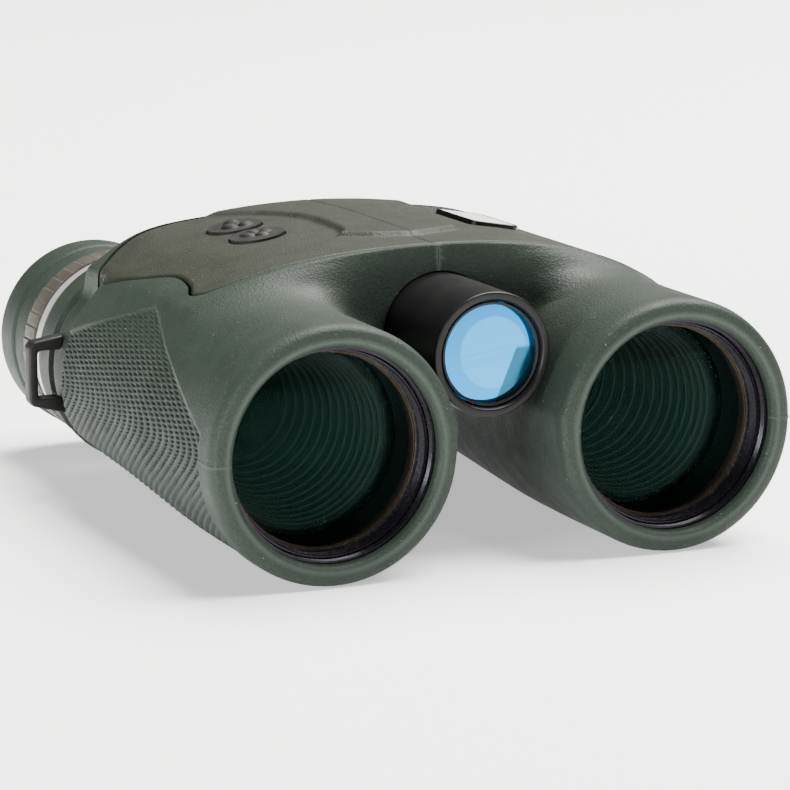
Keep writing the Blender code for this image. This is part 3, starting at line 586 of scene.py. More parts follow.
def laser_glass():
    """The laser window's blue coating, darker towards the top, with two painted streaks of reflection, and a
    painted paler disc and darker wedge that stand for the parts behind it and their reflections.
    """
    shade = Shade("laser_glass_look", Metallic=0.8, Roughness=0.1, Specular_IOR_Level=0.1)
    split = shade.node("ShaderNodeSeparateXYZ")
    shade.plug(shade.place, split.inputs[0])
    across, up = split.outputs["X"], split.outputs["Z"]
    middle = (HINGE_Z + BASE) * MM
    height = shade.calc("SUBTRACT", up, middle)
    colour = shade.mix(shade.spread(height, -9 * MM, 9 * MM), (0.012, 0.22, 0.50), (0.006, 0.17, 0.42))
    # Painted paler disc: a part behind the window and its reflection.
    disc = shade.calc("POWER", shade.calc("SUBTRACT", across, 1.2 * MM), 2.0)
    disc = shade.calc("SQRT", shade.calc("ADD", disc, shade.calc("POWER", height, 2.0)))
    colour = shade.mix(shade.spread(disc, 7.6 * MM, 7.2 * MM, 0.0, 0.5), colour, (0.04, 0.34, 0.66))
    # Painted reflection: two tilted streaks across the window.
    tilt = shade.calc("SUBTRACT", height, shade.calc("MULTIPLY", across, 0.16))
    for place, width, depth in ((0.4, 0.25, 0.35), (-1.5, 0.7, 0.3)):
        away = shade.calc("ABSOLUTE", shade.calc("SUBTRACT", tilt, place * MM))
        streak = shade.spread(away, (width + 0.15) * MM, width * MM, 0.0, depth)
        colour = shade.mix(streak, colour, (0.03, 0.22, 0.40))
    # Painted darker wedge in the lower half: a part behind the window and its reflection.
    wedge = shade.calc("ADD", across, shade.calc("MULTIPLY", shade.calc("SUBTRACT", 1.0 * MM, height), 0.42))
    low = shade.spread(height, 1.2 * MM, 0.4 * MM)
    part = shade.calc("MULTIPLY", shade.spread(wedge, 6.3 * MM, 6.6 * MM, 0.0, 0.85), low)
    colour = shade.mix(part, colour, (0.012, 0.06, 0.095))
    shade.set("Base Color", colour)
    shade.set("Roughness", shade.spread(shade.noise(6, 3), 0.35, 0.7, 0.07, 0.16))
    return shade.material


def make_materials():
    black, soft_black = (0.0045, 0.0045, 0.005), (0.009, 0.0088, 0.0088)
    return {
        "armour": rubber("armour_look", (0.0125, 0.0185, 0.0140), (0.0160, 0.0230, 0.0172)),
        "cover": rubber("cover_look", (0.0135, 0.0152, 0.0105), (0.0165, 0.0182, 0.0128)),
        "chassis": metal("chassis_look", black, (0.010, 0.011, 0.011), 0.42, 0.4, (1, 6, 1)),
        "black_metal": metal("black_metal_look", black, soft_black, 0.34, 0.3, (0.15, 3, 3), 0.5),
        "thread_metal": metal("thread_metal_look", (0.010, 0.0088, 0.012), (0.018, 0.0155, 0.021), 0.24, 0.7),
        "worn_metal": metal("worn_metal_look", (0.010, 0.010, 0.0105), (0.020, 0.020, 0.019), 0.45, 0.4,
                            None, 0.5, (0.15, 0.15, 0.14)),
        "brown_edge": metal("brown_edge_look", (0.035, 0.020, 0.011), (0.055, 0.032, 0.018), 0.3, 0.6),
        "baffle": baffle_black("baffle_look"),
        "silver": metal("silver_look", (0.50, 0.49, 0.48), (0.58, 0.57, 0.56), 0.42, 0.7, (0.3, 1, 0.3), 3.0),
        "ring_bronze": metal("ring_bronze_look", (0.050, 0.044, 0.036), (0.072, 0.064, 0.054), 0.5, 0.35),
        "black_plastic": plastic("black_plastic_look", (0.006, 0.0055, 0.006), (0.011, 0.010, 0.010), 0.5),
        "button_rubber": plastic("button_rubber_look", (0.004, 0.0034, 0.003), (0.008, 0.0068, 0.006), 0.6),
        "plate_gloss": metal("plate_gloss_look", (0.78, 0.77, 0.72), (0.84, 0.83, 0.79), 0.3, 0.2),
        "lens_glass": coated_glass("lens_glass_look", (0.0008, 0.0050, 0.0040), (0.0015, 0.0085, 0.0070),
                                   0.38, 0.09, (0.35, 1.0, 0.8)),
        "eye_glass": coated_glass("eye_glass_look", (0.006, 0.004, 0.010), (0.010, 0.006, 0.020), 0.85, 0.3,
                                  (0.7, 0.6, 1.0)),
        "laser_glass": laser_glass(),
        "board": plastic("board_look", (0.012, 0.075, 0.030), (0.020, 0.110, 0.045), 0.4, 1.2),
        "cell": metal("cell_look", (0.30, 0.25, 0.15), (0.42, 0.36, 0.24), 0.35, 0.6),
        "spring_steel": metal("spring_steel_look", (0.50, 0.50, 0.51), (0.62, 0.62, 0.62), 0.28, 1.0),
        "seal_rubber": plastic("seal_rubber_look", (0.008, 0.008, 0.008), (0.014, 0.014, 0.014), 0.75),
    }


LOOKS = make_materials()


def done(obj, body, slot, *nodes, look=None):
    """Give a piece its material and body, and hide the CAD nodes it stands for."""
    obj.data.materials.clear()
    obj.data.materials.append(LOOKS[look or slot])
    for face in obj.data.polygons:
        face.material_index = 0
    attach(obj, body)
    if nodes:
        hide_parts(*nodes)
    return obj


# ---- armour --------------------------------------------------------------------------------------
def outline():
    """The body's section about the barrel axis: (angle, radius, distance from the centre plane, on_round).

    It runs from the top centre outwards, round the barrel and back up past the centre plane.
    """
    points = []
    for x in (SEAM_X, 0.0, 6.0, 12.0, 18.0, 24.0, 30.0, 35.0, 39.5, 43.5, 47.0, 50.0, 52.5):
        across, up = x - BARREL_X, arch(x)
        points.append((math.atan2(up, across), math.hypot(across, up), x, False))
    for degrees in range(46, -181, -14):
        points.append((math.radians(degrees), 0.0, BARREL_X * 1.3, True))
    for height in (12.0, 18.0, 24.0, 30.0):
        across = SEAM_X - BARREL_X
        angle = math.atan2(height, across) - 2 * math.pi
        points.append((angle, math.hypot(across, height), SEAM_X, False))
    first = points[0]
    points.append((first[0] - 2 * math.pi, first[1], first[2], False))
    return points


def round_radius(angle, depth):
    """Radius of the barrel part of the body."""
    along = (depth - BELLY_FRONT_DEPTH) / (BELLY_REAR_DEPTH - BELLY_FRONT_DEPTH)
    belly = BELLY_FRONT_R + (BELLY_REAR_R - BELLY_FRONT_R) * min(max(along, 0.0), 1.0)
    side = blend(math.degrees(angle), *SIDE_ANGLES) * (1.0 - blend(depth, *PAD_END))
    return belly + (SIDE_R - belly) * side


def body_point(point, depth, inset=0.0):
    angle, radius, x, on_round = point
    if on_round:
        radius = round_radius(angle, depth)
    else:
        outer = blend(x, 40.0, 52.5) * blend(depth, PAD_END[0], BODY_END)
        radius = radius * (1 - REAR_CORNER_CUT * outer) - settle(x, depth)
    radius -= inset
    return BARREL_X + radius * math.cos(angle), radius * math.sin(angle)


def armour_rings():
    """Control rings of (x, depth, height, angle), outside from front to rear, and the steps between them."""
    points = outline()

    def circle(radius, depth):
        return [(BARREL_X + radius * math.cos(p[0]), depth, radius * math.sin(p[0]), p[0]) for p in points]

    def body(depth, at, inset=0.0):
        found = [body_point(p, depth, inset) for p in points]
        return [(x, at, height, p[0]) for (x, height), p in zip(found, points)]

    rings = [circle(24.2, 0.0), circle(25.5, 0.45), circle(26.2, 1.4), circle(LIP_R, 3.2)]
    counts = [4, 4, 6, 34]
    for (step, rise), count in zip(SHOULDER, (16, 15, 11, 6, 16)):
        ring = []
        for p in points:
            x = abs(p[2])
            start = BRIDGE_FRONT + (SHOULDER_START - BRIDGE_FRONT) * blend(x, 6.0, BARREL_X)
            end = FRONT_EDGE + FRONT_EDGE_SWEEP * min(x, 50.0) ** 2
            depth = start + (end - start) * step
            target = math.hypot(*(np.array(body_point(p, end)) - (BARREL_X, 0.0)))
            radius = LIP_R + (target - LIP_R) * rise
            ring.append((BARREL_X + radius * math.cos(p[0]), depth, radius * math.sin(p[0]), p[0]))
        rings.append(ring)
        counts.append(count)
    for depth, count in ((52.0, 31), (73.0, 31), (PAD_END[0], 8), (PAD_END[1], 6), (104.0, 6), (111.0, 4)):
        rings.append(body(depth, depth))
        counts.append(count)
    rings += [body(BODY_END, BODY_END + 0.8, 1.2), circle(23.2, 114.0), circle(SLEEVE_R, 115.0)]
    rings += [circle(SLEEVE_R - 0.1, SLEEVE_END - 0.6), circle(SLEEVE_R - 0.7, SLEEVE_END)]
    counts += [3, 3, 5, 3]
    return np.array(rings), counts


def bore_rings(columns):
    """Rings down the inside of the barrel, from the rear end to the front lip."""
    rear = CHASSIS_REAR_R + GAP
    profile = [
        (20.8, SLEEVE_END), (20.8, CHASSIS_REAR + GAP), (rear, CHASSIS_REAR + GAP),
        (rear, CHASSIS_STEP + GAP),
        (22.8, CHASSIS_STEP + GAP), (22.8, CHASSIS_FRONT - GAP), (21.9, CHASSIS_FRONT - GAP), (21.9, 1.5),
        (22.1, 0.75), (22.6, 0.25), (23.2, 0.0),
    ]
    angle = columns[..., 3]
    rings = []
    for radius, depth in profile:
        x, height = BARREL_X + radius * np.cos(angle), radius * np.sin(angle)
        rings.append(np.stack([x, np.full_like(x, depth), height, angle], -1))
    return np.array(rings)


def pad_cover(arc, depth):
    """How far inside the grip pad's outline a point lies, in millimetres."""
    nearest = np.full(np.shape(arc), 1e3)
    for (a0, d0), (a1, d1) in zip(PAD_OUTLINE, PAD_OUTLINE[1:] + PAD_OUTLINE[:1]):
        length = math.hypot(a1 - a0, d1 - d0)
        nearest = np.minimum(nearest, ((arc - a0) * (d1 - d0) - (depth - d0) * (a1 - a0)) / length)
    return nearest


def pad_pattern(angle, depth):
    """The pad's relief: how much of it is a pit, how much the valley between two ribs, and the pad itself.

    The ribs run round the barrel. Short bars, staggered from valley to valley, split the valleys into pits;
    towards the belly they fade and leave the ribs alone.
    """
    degrees = np.degrees(angle)
    inside = np.maximum(pad_cover(angle * SIDE_R, depth), 0.0)
    chevron = CHEVRON_SLOPE * (np.sqrt((degrees - 2.0) ** 2 + CHEVRON_ROUND**2) - CHEVRON_ROUND)
    along = (depth - chevron) / RIB_PITCH
    valley = 0.5 + 0.5 * np.cos(2 * math.pi * along)
    stagger = 0.5 * (np.round(along) % 2)
    bar = (0.5 + 0.5 * np.cos(2 * math.pi * (degrees / PIT_PITCH + stagger))) ** 1.4
    lower = 1 - blend(degrees, -48.0, -14.0)
    pit = valley**1.4 * (1 - bar) * (1 - 0.9 * lower)
    edge = blend(inside, 0.5, 1.4)
    return pit * edge, valley * lower * edge, blend(inside, 0.0, 0.6)


def armour_relief(points):
    """Move the outside's points: pad texture, the flash lines of the mould and the seam's rounded edge."""
    x, depth, height, angle = np.moveaxis(points, -1, 0)
    pit, valley, pad = pad_pattern(angle, depth)
    inward = pad * PAD_RECESS + pit * PIT_DEPTH + valley * RIB_DEPTH
    for middle in (0.0, -math.pi):
        flash = np.abs(angle - middle) * LIP_R
        inward -= 0.16 * bump_at(flash, 0.0, 0.3) * blend(-depth, -9.0, -6.5)
    on_top = (x < 4.0) & (height > 20.0)
    inward += np.where(on_top, SEAM_ROLL * bump_at(x, HALF_GAP, 0.35), 0.0)
    moved = points.copy()
    moved[..., 0] -= inward * np.cos(angle)
    moved[..., 2] -= inward * np.sin(angle)
    return moved


def armour_skin(side):
    control, row_counts = armour_rings()
    knots = knots_of(control[REFERENCE_RING][:, :3])
    degrees = np.degrees([p[0] for p in outline()])
    column_counts = []
    for i in range(len(degrees) - 1):
        length = knots[i + 1] - knots[i]
        middle = (degrees[i] + degrees[i + 1]) / 2
        if -48 < middle < 56:
            steps = (degrees[i] - degrees[i + 1]) / PAD_DEGREES
        else:
            steps = length / (TOP_STEP if middle > -78 else BELLY_STEP)
        column_counts.append(max(1, round(steps)))
    columns = through(np.moveaxis(control, 1, 0), knots, column_counts, False)
    rings = np.moveaxis(columns, 0, 1)[:, :-1]
    outside = through(rings, knots_of(rings[..., :3]), row_counts, True)
    outside = armour_relief(outside)
    inside = bore_rings(rings[0])
    skin = np.concatenate([outside, inside])[..., :3]
    skin[..., 0] *= side
    return grid("skin", to_world(skin), round_rows=True)


# ---- top cover -----------------------------------------------------------------------------------
def smooth_rows(rows, step):
    """A row list resampled along its length, through its points."""
    points = np.array(rows, float)
    knots = knots_of(points)
    counts = [max(1, round(float(d) / step)) for d in np.diff(knots)]
    return through(points, knots, counts, False)


COVER_EDGE = smooth_rows(COVER_ROWS, 0.4)


def edge_distance(x, depth, edge):
    """Distance to an outline given as rows of (depth, half-width), closed across at both ends."""
    ends = [(edge[0][0], 0.0)] + [tuple(row) for row in edge] + [(edge[-1][0], 0.0)]
    best = np.full(np.shape(x), 1e3)
    for (d0, w0), (d1, w1) in zip(ends, ends[1:]):
        length = (d1 - d0) ** 2 + (w1 - w0) ** 2
        if length == 0.0:
            continue
        t = np.clip(((depth - d0) * (d1 - d0) + (x - w0) * (w1 - w0)) / length, 0.0, 1.0)
        best = np.minimum(best, np.hypot(depth - d0 - t * (d1 - d0), x - w0 - t * (w1 - w0)))
    return best


def plateau_share(x, depth):
    """How much of its full height the raised field has at a spot."""
    front = np.interp(x, [row[1] for row in PLATEAU_FRONT], [row[0] for row in PLATEAU_FRONT])
    width = np.interp(depth, [row[0] for row in PLATEAU_SIDE], [row[1] for row in PLATEAU_SIDE])
    slope = np.interp(depth, [row[0] for row in PLATEAU_SLOPE], [row[1] for row in PLATEAU_SLOPE])
    ahead = np.clip((depth - front) / PLATEAU_STEP, 0.0, 1.0)
    beside = np.clip((width - x) / slope, 0.0, 1.0)
    return ahead * beside * beside * (3 - 2 * beside)


def top_heights(x, depth):
    """Height of the body's own surface above a row of distances from the centre plane."""
    spots = np.array([body_point(p, depth) for p in outline()[:17]])
    fine = through(spots, knots_of(spots), [8] * (len(spots) - 1), False)
    return np.interp(x, fine[:, 0], fine[:, 1])


def cover_top(x, depth):
    """Height of the cover's upper face: the body's surface, the raised field and the rolled border."""
    height = top_heights(x, depth) + PLATEAU_RISE * plateau_share(x, depth)
    border = edge_distance(x, depth, COVER_EDGE) - COVER_INSET
    roll = np.clip(1 - border / COVER_ROLL, 0.0, 1.0)
    return height - COVER_ROLL_DROP * roll**2 - SEAM_ROLL * bump_at(x, HALF_GAP, 0.3)


def grown(edge, amount):
    """The outline moved outwards, in its own plane."""
    along = np.gradient(edge, axis=0)
    along /= np.linalg.norm(along, axis=1)[:, None]
    outward = np.stack([-along[:, 1], along[:, 0]], 1)
    moved = edge + outward * amount
    moved[:, 0] = np.maximum.accumulate(moved[:, 0])
    return moved


def cover_slab(name, side, edge, drop, rise, top, columns=120):
    """A slab inside the outline: its underside hangs drop under the arch; its top is top() or rise above."""
    inner = HALF_GAP if top else SEAM_X
    near_seam = [inner, inner + 0.15, inner + 0.35, inner + 0.7]
    base = np.concatenate([near_seam, np.linspace(inner + 1.2, 60.0, columns)])
    margin = 0.06 * (len(base) - 1 - np.arange(len(base)))
    sections = []
    for depth, width in edge:
        x = np.maximum(np.minimum(base, width - margin), inner + 0.001 * np.arange(len(base)))
        under = arch(x) - settle(x, depth) * SETTLE_SHARE - drop - COVER_EDGE_DROP * blend(x, 43.0, 52.5)
        over = top(x, depth) if top else arch(x) + rise
        low = np.stack([side * x, np.full_like(x, depth), under], -1)
        high = np.stack([side * x, np.full_like(x, depth), over], -1)[::-1]
        sections.append(np.concatenate([low, high]))
    return grid(name, to_world(np.array(sections)))


def oval_cutter(x, depth, low, high, radii):
    """An oval post square to the top surface."""
    shape = bmesh.new()
    length = (high - low) * MM
    bmesh.ops.create_cone(shape, cap_ends=True, segments=72, radius1=MM, radius2=MM, depth=length)
    bmesh.ops.scale(shape, vec=(radii[0], radii[1], 1.0), verts=shape.verts)
    bmesh.ops.translate(shape, vec=(0, 0, (low + high) / 2 * MM), verts=shape.verts)
    bmesh.ops.transform(shape, matrix=top_place(x, depth), verts=shape.verts)
    return link_shape("oval", shape)


def top_place(x, depth):
    """The matrix of a spot on the top surface, with Z square to it."""
    tilt = surface_tilt(abs(x)) * (1 if x > 0 else -1)
    return Matrix.Translation(world(x, depth, arch(abs(x)))) @ Matrix.Rotation(tilt, 4, "Y")


def plate_block(name, span, grow, bevel=0.0):
    """A rounded rectangle square to the left cover, at the plate's place."""
    shape = cube(Vector((PLATE_SIZE[0] + 2 * grow, PLATE_SIZE[1] + 2 * grow, span[1] - span[0])) * MM)
    upright = [e for e in shape.edges if abs(e.verts[0].co.z - e.verts[1].co.z) > 1e-5]
    round_edges(shape, upright, PLATE_CORNER + grow, 8)
    if bevel:
        rim = [e for e in shape.edges if all(v.co.z > 0 for v in e.verts) and len(e.link_faces) == 2]
        round_edges(shape, rim, bevel)
    bmesh.ops.translate(shape, vec=(0, 0, sum(span) / 2 * MM), verts=shape.verts)
    bmesh.ops.transform(shape, matrix=top_place(*PLATE_CENTRE), verts=shape.verts)
    return link_shape(name, shape)


def arm_block(side, span, thickness, reach):
    """A block from the hinge axis towards a barrel axis, between two distances along that line."""
    shape = cube(Vector((reach[1] - reach[0], span[1] - span[0], thickness)) * MM)
    middle = (reach[0] + reach[1]) / 2 / math.hypot(BARREL_X, HINGE_Z)
    place = Matrix.Translation(world(side * BARREL_X * middle, sum(span) / 2, HINGE_Z * (1 - middle)))
    turn = Matrix.Rotation(side * math.atan2(HINGE_Z, BARREL_X), 4, "Y")
    bmesh.ops.transform(shape, matrix=place @ turn, verts=shape.verts)
    return link_shape("arm", shape)


def centre_box(side):
    low, high = sorted((side * HALF_GAP, -side * 60.0))
    return box("centre", (low, -10.0, -60.0), (high, 170.0, 60.0))


def armour_wear_and_highlight(x, depth, height):
    """Where the armour is scuffed and painted pale as a highlight: the lip's outer edge, the body's crests
    and its rear edge.
    """
    radius = barrel_radius(x, height)
    lip = bump_at(radius, 25.4, 0.9) * (depth < 2.5) * 0.8
    edge = FRONT_EDGE + FRONT_EDGE_SWEEP * np.minimum(x**2, 2500)
    crest = bump_at(depth, edge, 0.9) * (height > 16.0) * 0.7
    rear = bump_at(depth, BODY_END, 0.8) * 0.7
    return np.maximum.reduce([lip, crest, rear])


def armour_highlight_lines(x, depth, height):
    """Fine pale lines, painted highlights along edges and ridges: the lip's inner edge, the mould's flash
    marks, the seam between the halves and the body's rear edge.
    """
    radius = barrel_radius(x, height)
    inner = 0.45 * bump_at(radius, 23.1, 0.16) * (depth < 0.6)
    flash = 0.3 * bump_at(height, 0.0, 0.16) * (depth < 8.5)
    seam = 0.5 * bump_at(np.abs(x), HALF_GAP, 0.22) * (height > 20.0) * (depth < FRONT_EDGE + 1.0)
    rear = 0.35 * bump_at(depth, BODY_END + 0.5, 0.35) * (radius < 29.5)
    return np.maximum.reduce([inner, flash, seam, rear])


def armour_dirt_and_shade(x, depth, height):
    """Dirt and painted shade in the pits and valleys of the pad."""
    angle = np.arctan2(height, np.abs(x) - BARREL_X)
    pit, valley, _ = pad_pattern(angle, depth)
    outside = barrel_radius(x, height) > 23.5
    return np.where(outside, np.maximum(pit * 0.75, valley * 0.45), 0.0)


def make_armour(name, side):
    armour = armour_skin(side)
    armour.name = f"{name}_armour_skin"
    pocket = cover_slab("pocket", side, grown(COVER_EDGE, GAP), COVER_THICKNESS + GAP, 9.0, None)
    cut(armour, pocket)
    drum = lathe("drum", [(0, 20), (TUBE_R + GAP, 20), (TUBE_R + GAP, DRUM_FRONT), (DRUM_R, DRUM_FRONT),
                          (DRUM_R, 140), (0, 140)], HINGE_AXIS)
    cut(armour, drum)
    span = (KNUCKLES[-1][0][0] - 0.4, KNUCKLES[-1][-1][1] + 0.4)
    cut(armour, arm_block(side, span, ARM_HEIGHT + 2 * GAP, (13.0, 21.0)))
    cut(armour, centre_box(side))
    if side < 0:
        low = arch(BUTTON_X) - 6.9
        across = (-BUTTON_X - 7.8, -BUTTON_X + 7.8)
        cut(armour, box("board_room", (across[0], 65.1, low), (across[1], 97.5, low + 12)))
    smooth(armour)
    # Painted scuffs and highlights, painted highlight lines, and painted shade with some dirt in the pad's
    # hollows.
    paint(armour, "wear_and_highlight", armour_wear_and_highlight)
    paint(armour, "line", armour_highlight_lines)
    paint(armour, "deep", armour_dirt_and_shade)
    return done(armour, f"{name}_half", "armour", f"{name}_armour")


def cover_wear(x, depth, height):
    """The cover is rubbed just inside its border."""
    border = edge_distance(np.abs(x), depth, COVER_EDGE)
    return 0.5 * bump_at(border, 1.1, 0.35)


def cover_dirt_and_shade(x, depth, height):
    """Painted shade with some dirt in the groove round the cover, and painted shade on the slopes of the
    raised field.
    """
    border = edge_distance(np.abs(x), depth, COVER_EDGE)
    share = plateau_share(np.abs(x), depth)
    return np.maximum(0.9 * bump_at(border, COVER_INSET, 0.35), 3.0 * share * (1 - share))


def make_cover(name, side):
    edge = grown(COVER_EDGE, -COVER_INSET)
    cover = cover_slab(f"{name}_cover_skin", side, edge, COVER_THICKNESS, 0.0, cover_top)
    if side < 0:
        for depth in BUTTON_DEPTHS.values():
            cut(cover, oval_cutter(-BUTTON_X, depth, -8.0, 6.0, [r + GAP for r in BUTTON_RADII]))
    else:
        cut(cover, plate_block("seat", (-1.2, 6.0), GAP))
    smooth(cover, 30)
    paint(cover, "wear_and_highlight", cover_wear)
    # Painted shade in the groove and on the slopes of the raised field.
    paint(cover, "deep", cover_dirt_and_shade)
    return done(cover, f"{name}_half", "cover", f"{name}_top_cover")


# ---- inside the barrels --------------------------------------------------------------------------
def thread(radius, depth_of_cut, start, end, pitch):
    """A (radius, depth) run down a bore, with fine grooves."""
    points = []
    count = max(1, round((end - start) / pitch))
    for i in range(count):
        at = start + (end - start) * i / count
        step = (end - start) / count
        points += [(radius, at), (radius, at + 0.45 * step), (radius + depth_of_cut, at + 0.7 * step)]
    points.append((radius, end))
    return points


def make_chassis(name, side):
    axis = (side * BARREL_X, 0.0)
    profile = [(CHASSIS_R, CHASSIS_FRONT), (CHASSIS_R, CHASSIS_STEP), (CHASSIS_REAR_R, CHASSIS_STEP),
               (CHASSIS_REAR_R, CHASSIS_REAR), (14.5, CHASSIS_REAR), (14.5, 109.4), (19.8, 109.4),
               (19.8, 20.0), (21.5, 20.0)] + thread(21.35, 0.15, 2.6, 7.9, 0.55)[::-1]
    chassis = lathe(f"{name}_chassis_skin", profile, axis)
    for span in KNUCKLES[side]:
        knuckle = rounded(band(KNUCKLE_BORE_R, KNUCKLE_R, span), 0.35)
        cut(chassis, arm_block(side, span, ARM_HEIGHT, (14.0, 19.6)), "UNION")
        cut(chassis, lathe("knuckle", knuckle, HINGE_AXIS), "UNION")
    smooth(chassis, 32)
    return done(chassis, f"{name}_half", "chassis", f"{name}_chassis", look="thread_metal")


def make_front_rings(name, side):
    """What shows inside a barrel's mouth: threaded ring, lens cell with its brown edge, and the baffle."""
    axis = (side * BARREL_X, 0.0)
    body = f"{name}_half"
    inner = thread(20.6, 0.16, 4.75, 7.6, 0.42)[::-1]
    ring = [(20.75, 4.4), (21.05, 4.4), (21.2, 4.55), (21.2, 7.8), (20.65, 7.8)] + inner
    done(lathe(f"{name}_threaded_ring", ring, axis), body, "black_metal", f"{name}_lens_ring",
         look="thread_metal")
    cell = rounded([(21.2, 8.2), (21.2, 19.6), (20.4, 19.6), (20.4, 9.4), (20.05, 9.4), (20.05, 8.2)], 0.25)
    cell_piece = lathe(f"{name}_cell_ring", cell, axis)
    paint(cell_piece, "wear_and_highlight", lambda x, depth, height: 0.8 * (depth < 9.0))
    done(cell_piece, body, "worn_metal", f"{name}_objective_cell")
    edge = rounded([(20.0, 8.45), (20.0, 9.2), (19.75, 9.2), (19.75, 8.45)], 0.08, 2)
    done(lathe(f"{name}_cell_edge", edge, axis), body, "worn_metal", look="brown_edge")
    make_baffle(name, axis, body)


def cone_radius(depth):
    """The baffle's bore narrows towards the prism."""
    return BAFFLE_BORE[0] - (BAFFLE_BORE[0] - BAFFLE_BORE[1]) * (depth - BAFFLE_SPAN[0]) / BAFFLE_TAPER


def make_baffle(name, axis, body):
    """A cone of thin light-trapping rings that stand further apart towards the rear."""
    steps = []
    for i in range(13):
        at = 21.4 + 2.1 * i + 0.08 * i * i
        radius = cone_radius(at)
        tip = radius - BAFFLE_STEP
        steps += [(radius, at), (tip, at + 0.15), (tip, at + 0.45), (radius - 0.1, at + 0.9)]
    start, end = BAFFLE_SPAN
    back = [(BAFFLE_R, start), (BAFFLE_R, end), (BAFFLE_BORE[1], end), (BAFFLE_BORE[1], start + BAFFLE_TAPER)]
    profile = back + steps[::-1] + [(BAFFLE_BORE[0], start)]
    baffle = lathe(f"{name}_baffle_rings", profile, axis)

    # Painted highlight on the tips of the rings.
    def ring_tip_highlight(x, depth, height):
        radius = barrel_radius(x, height)
        return (radius < cone_radius(depth) - 0.5) * 1.0

    paint(baffle, "wear_and_highlight", ring_tip_highlight)
    done(baffle, body, "chassis", f"{name}_baffle", look="baffle")


def lens_profile(radius, front, back, bulge_front, bulge_back, steps=14):
    """A lens with domed faces, from the middle of its front to the middle of its back."""
    share = [math.sin(math.pi / 2 * i / steps) for i in range(steps + 1)]
    face = [(radius * s, front - bulge_front * (1 - s * s)) for s in share]
    rear = [(radius * s, back + bulge_back * (1 - s * s)) for s in reversed(share)]
    return face + rear


def make_lenses(name, side):
    axis = (side * BARREL_X, 0.0)
    objective = lathe(f"{name}_objective_glass", lens_profile(19.9, 11.4, 15.2, 1.6, 0.5), axis)
    done(objective, f"{name}_half", "lens_glass", f"{name}_objective_lens")
    eye = lathe(f"{name}_eye_glass", lens_profile(12.6, 141.4, 144.4, 0.4, 1.0), axis)
    done(eye, f"{name}_half", "lens_glass", f"{name}_eye_lens", look="eye_glass")


# ---- eyepieces -----------------------------------------------------------------------------------
def facets(radius, depth, angle):
    """Shallow sawtooth facets round the dioptre ring."""
    if radius < DIOPTRE_R - 0.6:
        return radius
    count = DIOPTRE_FACETS
    share = (angle * count / (2 * math.pi)) % 1.0
    flat = math.cos(math.pi / count) / math.cos((share - 0.5) * 2 * math.pi / count)
    groove = 0.32 if share < 0.12 else 0.0
    return radius * flat - 0.22 * share - groove


def make_eyepiece(name, side):
    axis = (side * BARREL_X, 0.0)
    tube = rounded([(20.4, 114.2), (20.4, COLLAR[0]), (COLLAR_R, COLLAR[0]), (COLLAR_R, COLLAR[1]),
                    (20.3, COLLAR[1]), (20.3, 146.2), (12.9, 146.2), (12.9, 140.5), (17.6, 140.5),
                    (17.6, 114.2)], 0.45)
    done(lathe(f"{name}_eyepiece_body", tube, axis), f"{name}_half", "silver", f"{name}_eyepiece_tube")
    inner = CUP_SLEEVE_R[1] + 0.25
    ring = rounded(band(inner, DIOPTRE_R, DIOPTRE), 0.3, 2)
    facet_ring = lathe(f"{name}_dioptre_grip", ring, axis, DIOPTRE_FACETS * 8, facets)
    smooth(facet_ring, 24)
    done(facet_ring, f"{name}_dioptre_ring", "ring_bronze", f"{name}_dioptre_ring")
    collar = rounded(band(inner, CUP_BASE_R, CUP_BASE), 0.14, 3)
    collar_piece = lathe(f"{name}_cup_collar", collar, axis)
    done(collar_piece, f"{name}_eyecup_collar", "armour", f"{name}_eyecup_collar")
    cup = rounded([
        (CUP_SLEEVE_R[1], CUP_SLEEVE_FRONT), (CUP_SLEEVE_R[1], CUP_FRONT), (CUP_BASE_R, CUP_FRONT),
        (CUP_R, CUP_FRONT + 1.2), (CUP_R, 153.5), (CUP_R - 0.5, 155.8), (CUP_R - 1.7, LENGTH),
        (CUP_R - 3.4, LENGTH - 0.3), (17.6, 152.0), (15.0, 148.6), (15.0, 147.0), (CUP_SLEEVE_R[0], 147.0),
        (CUP_SLEEVE_R[0], CUP_SLEEVE_FRONT),
    ], 0.8, 5)
    cup_piece = lathe(f"{name}_eyecup_skin", cup, axis)
    paint(cup_piece, "wear_and_highlight", lambda x, depth, height: 0.25 * blend(depth, 150.0, LENGTH))
    done(cup_piece, f"{name}_eyecup", "armour", f"{name}_eyecup")


def make_lug(name, side):
    """The strap loop: a bar on two short feet beside the barrel, with its edges rounded."""
    rows = [[(side * x, depth, height) for x, height in LUG_OUTLINE] for depth in LUG_SPAN]
    lug = grid(f"{name}_strap_loop", to_world(np.array(rows)))
    long = (LUG_SPAN[0] - 5.0, LUG_SPAN[1] + 5.0)
    outer, low, high = LUG_WAY
    across = sorted((side * 50.0, side * outer))
    cut(lug, box("way", (across[0], long[0], low), (across[1], long[1], high), 0.9))
    barrel = [(0, long[0]), (LUG_CLEAR_R, long[0]), (LUG_CLEAR_R, long[1]), (0, long[1])]
    cut(lug, lathe("barrel", barrel, (side * BARREL_X, 0.0)))
    bevel = lug.modifiers.new("edges", "BEVEL")
    bevel.width = 0.5 * MM
    bevel.segments = 3
    bevel.limit_method = "ANGLE"
    bevel.angle_limit = math.radians(35)
    applied(lug)
    smooth(lug, 45)
    return done(lug, f"{name}_half", "black_plastic", f"{name}_strap_lug")


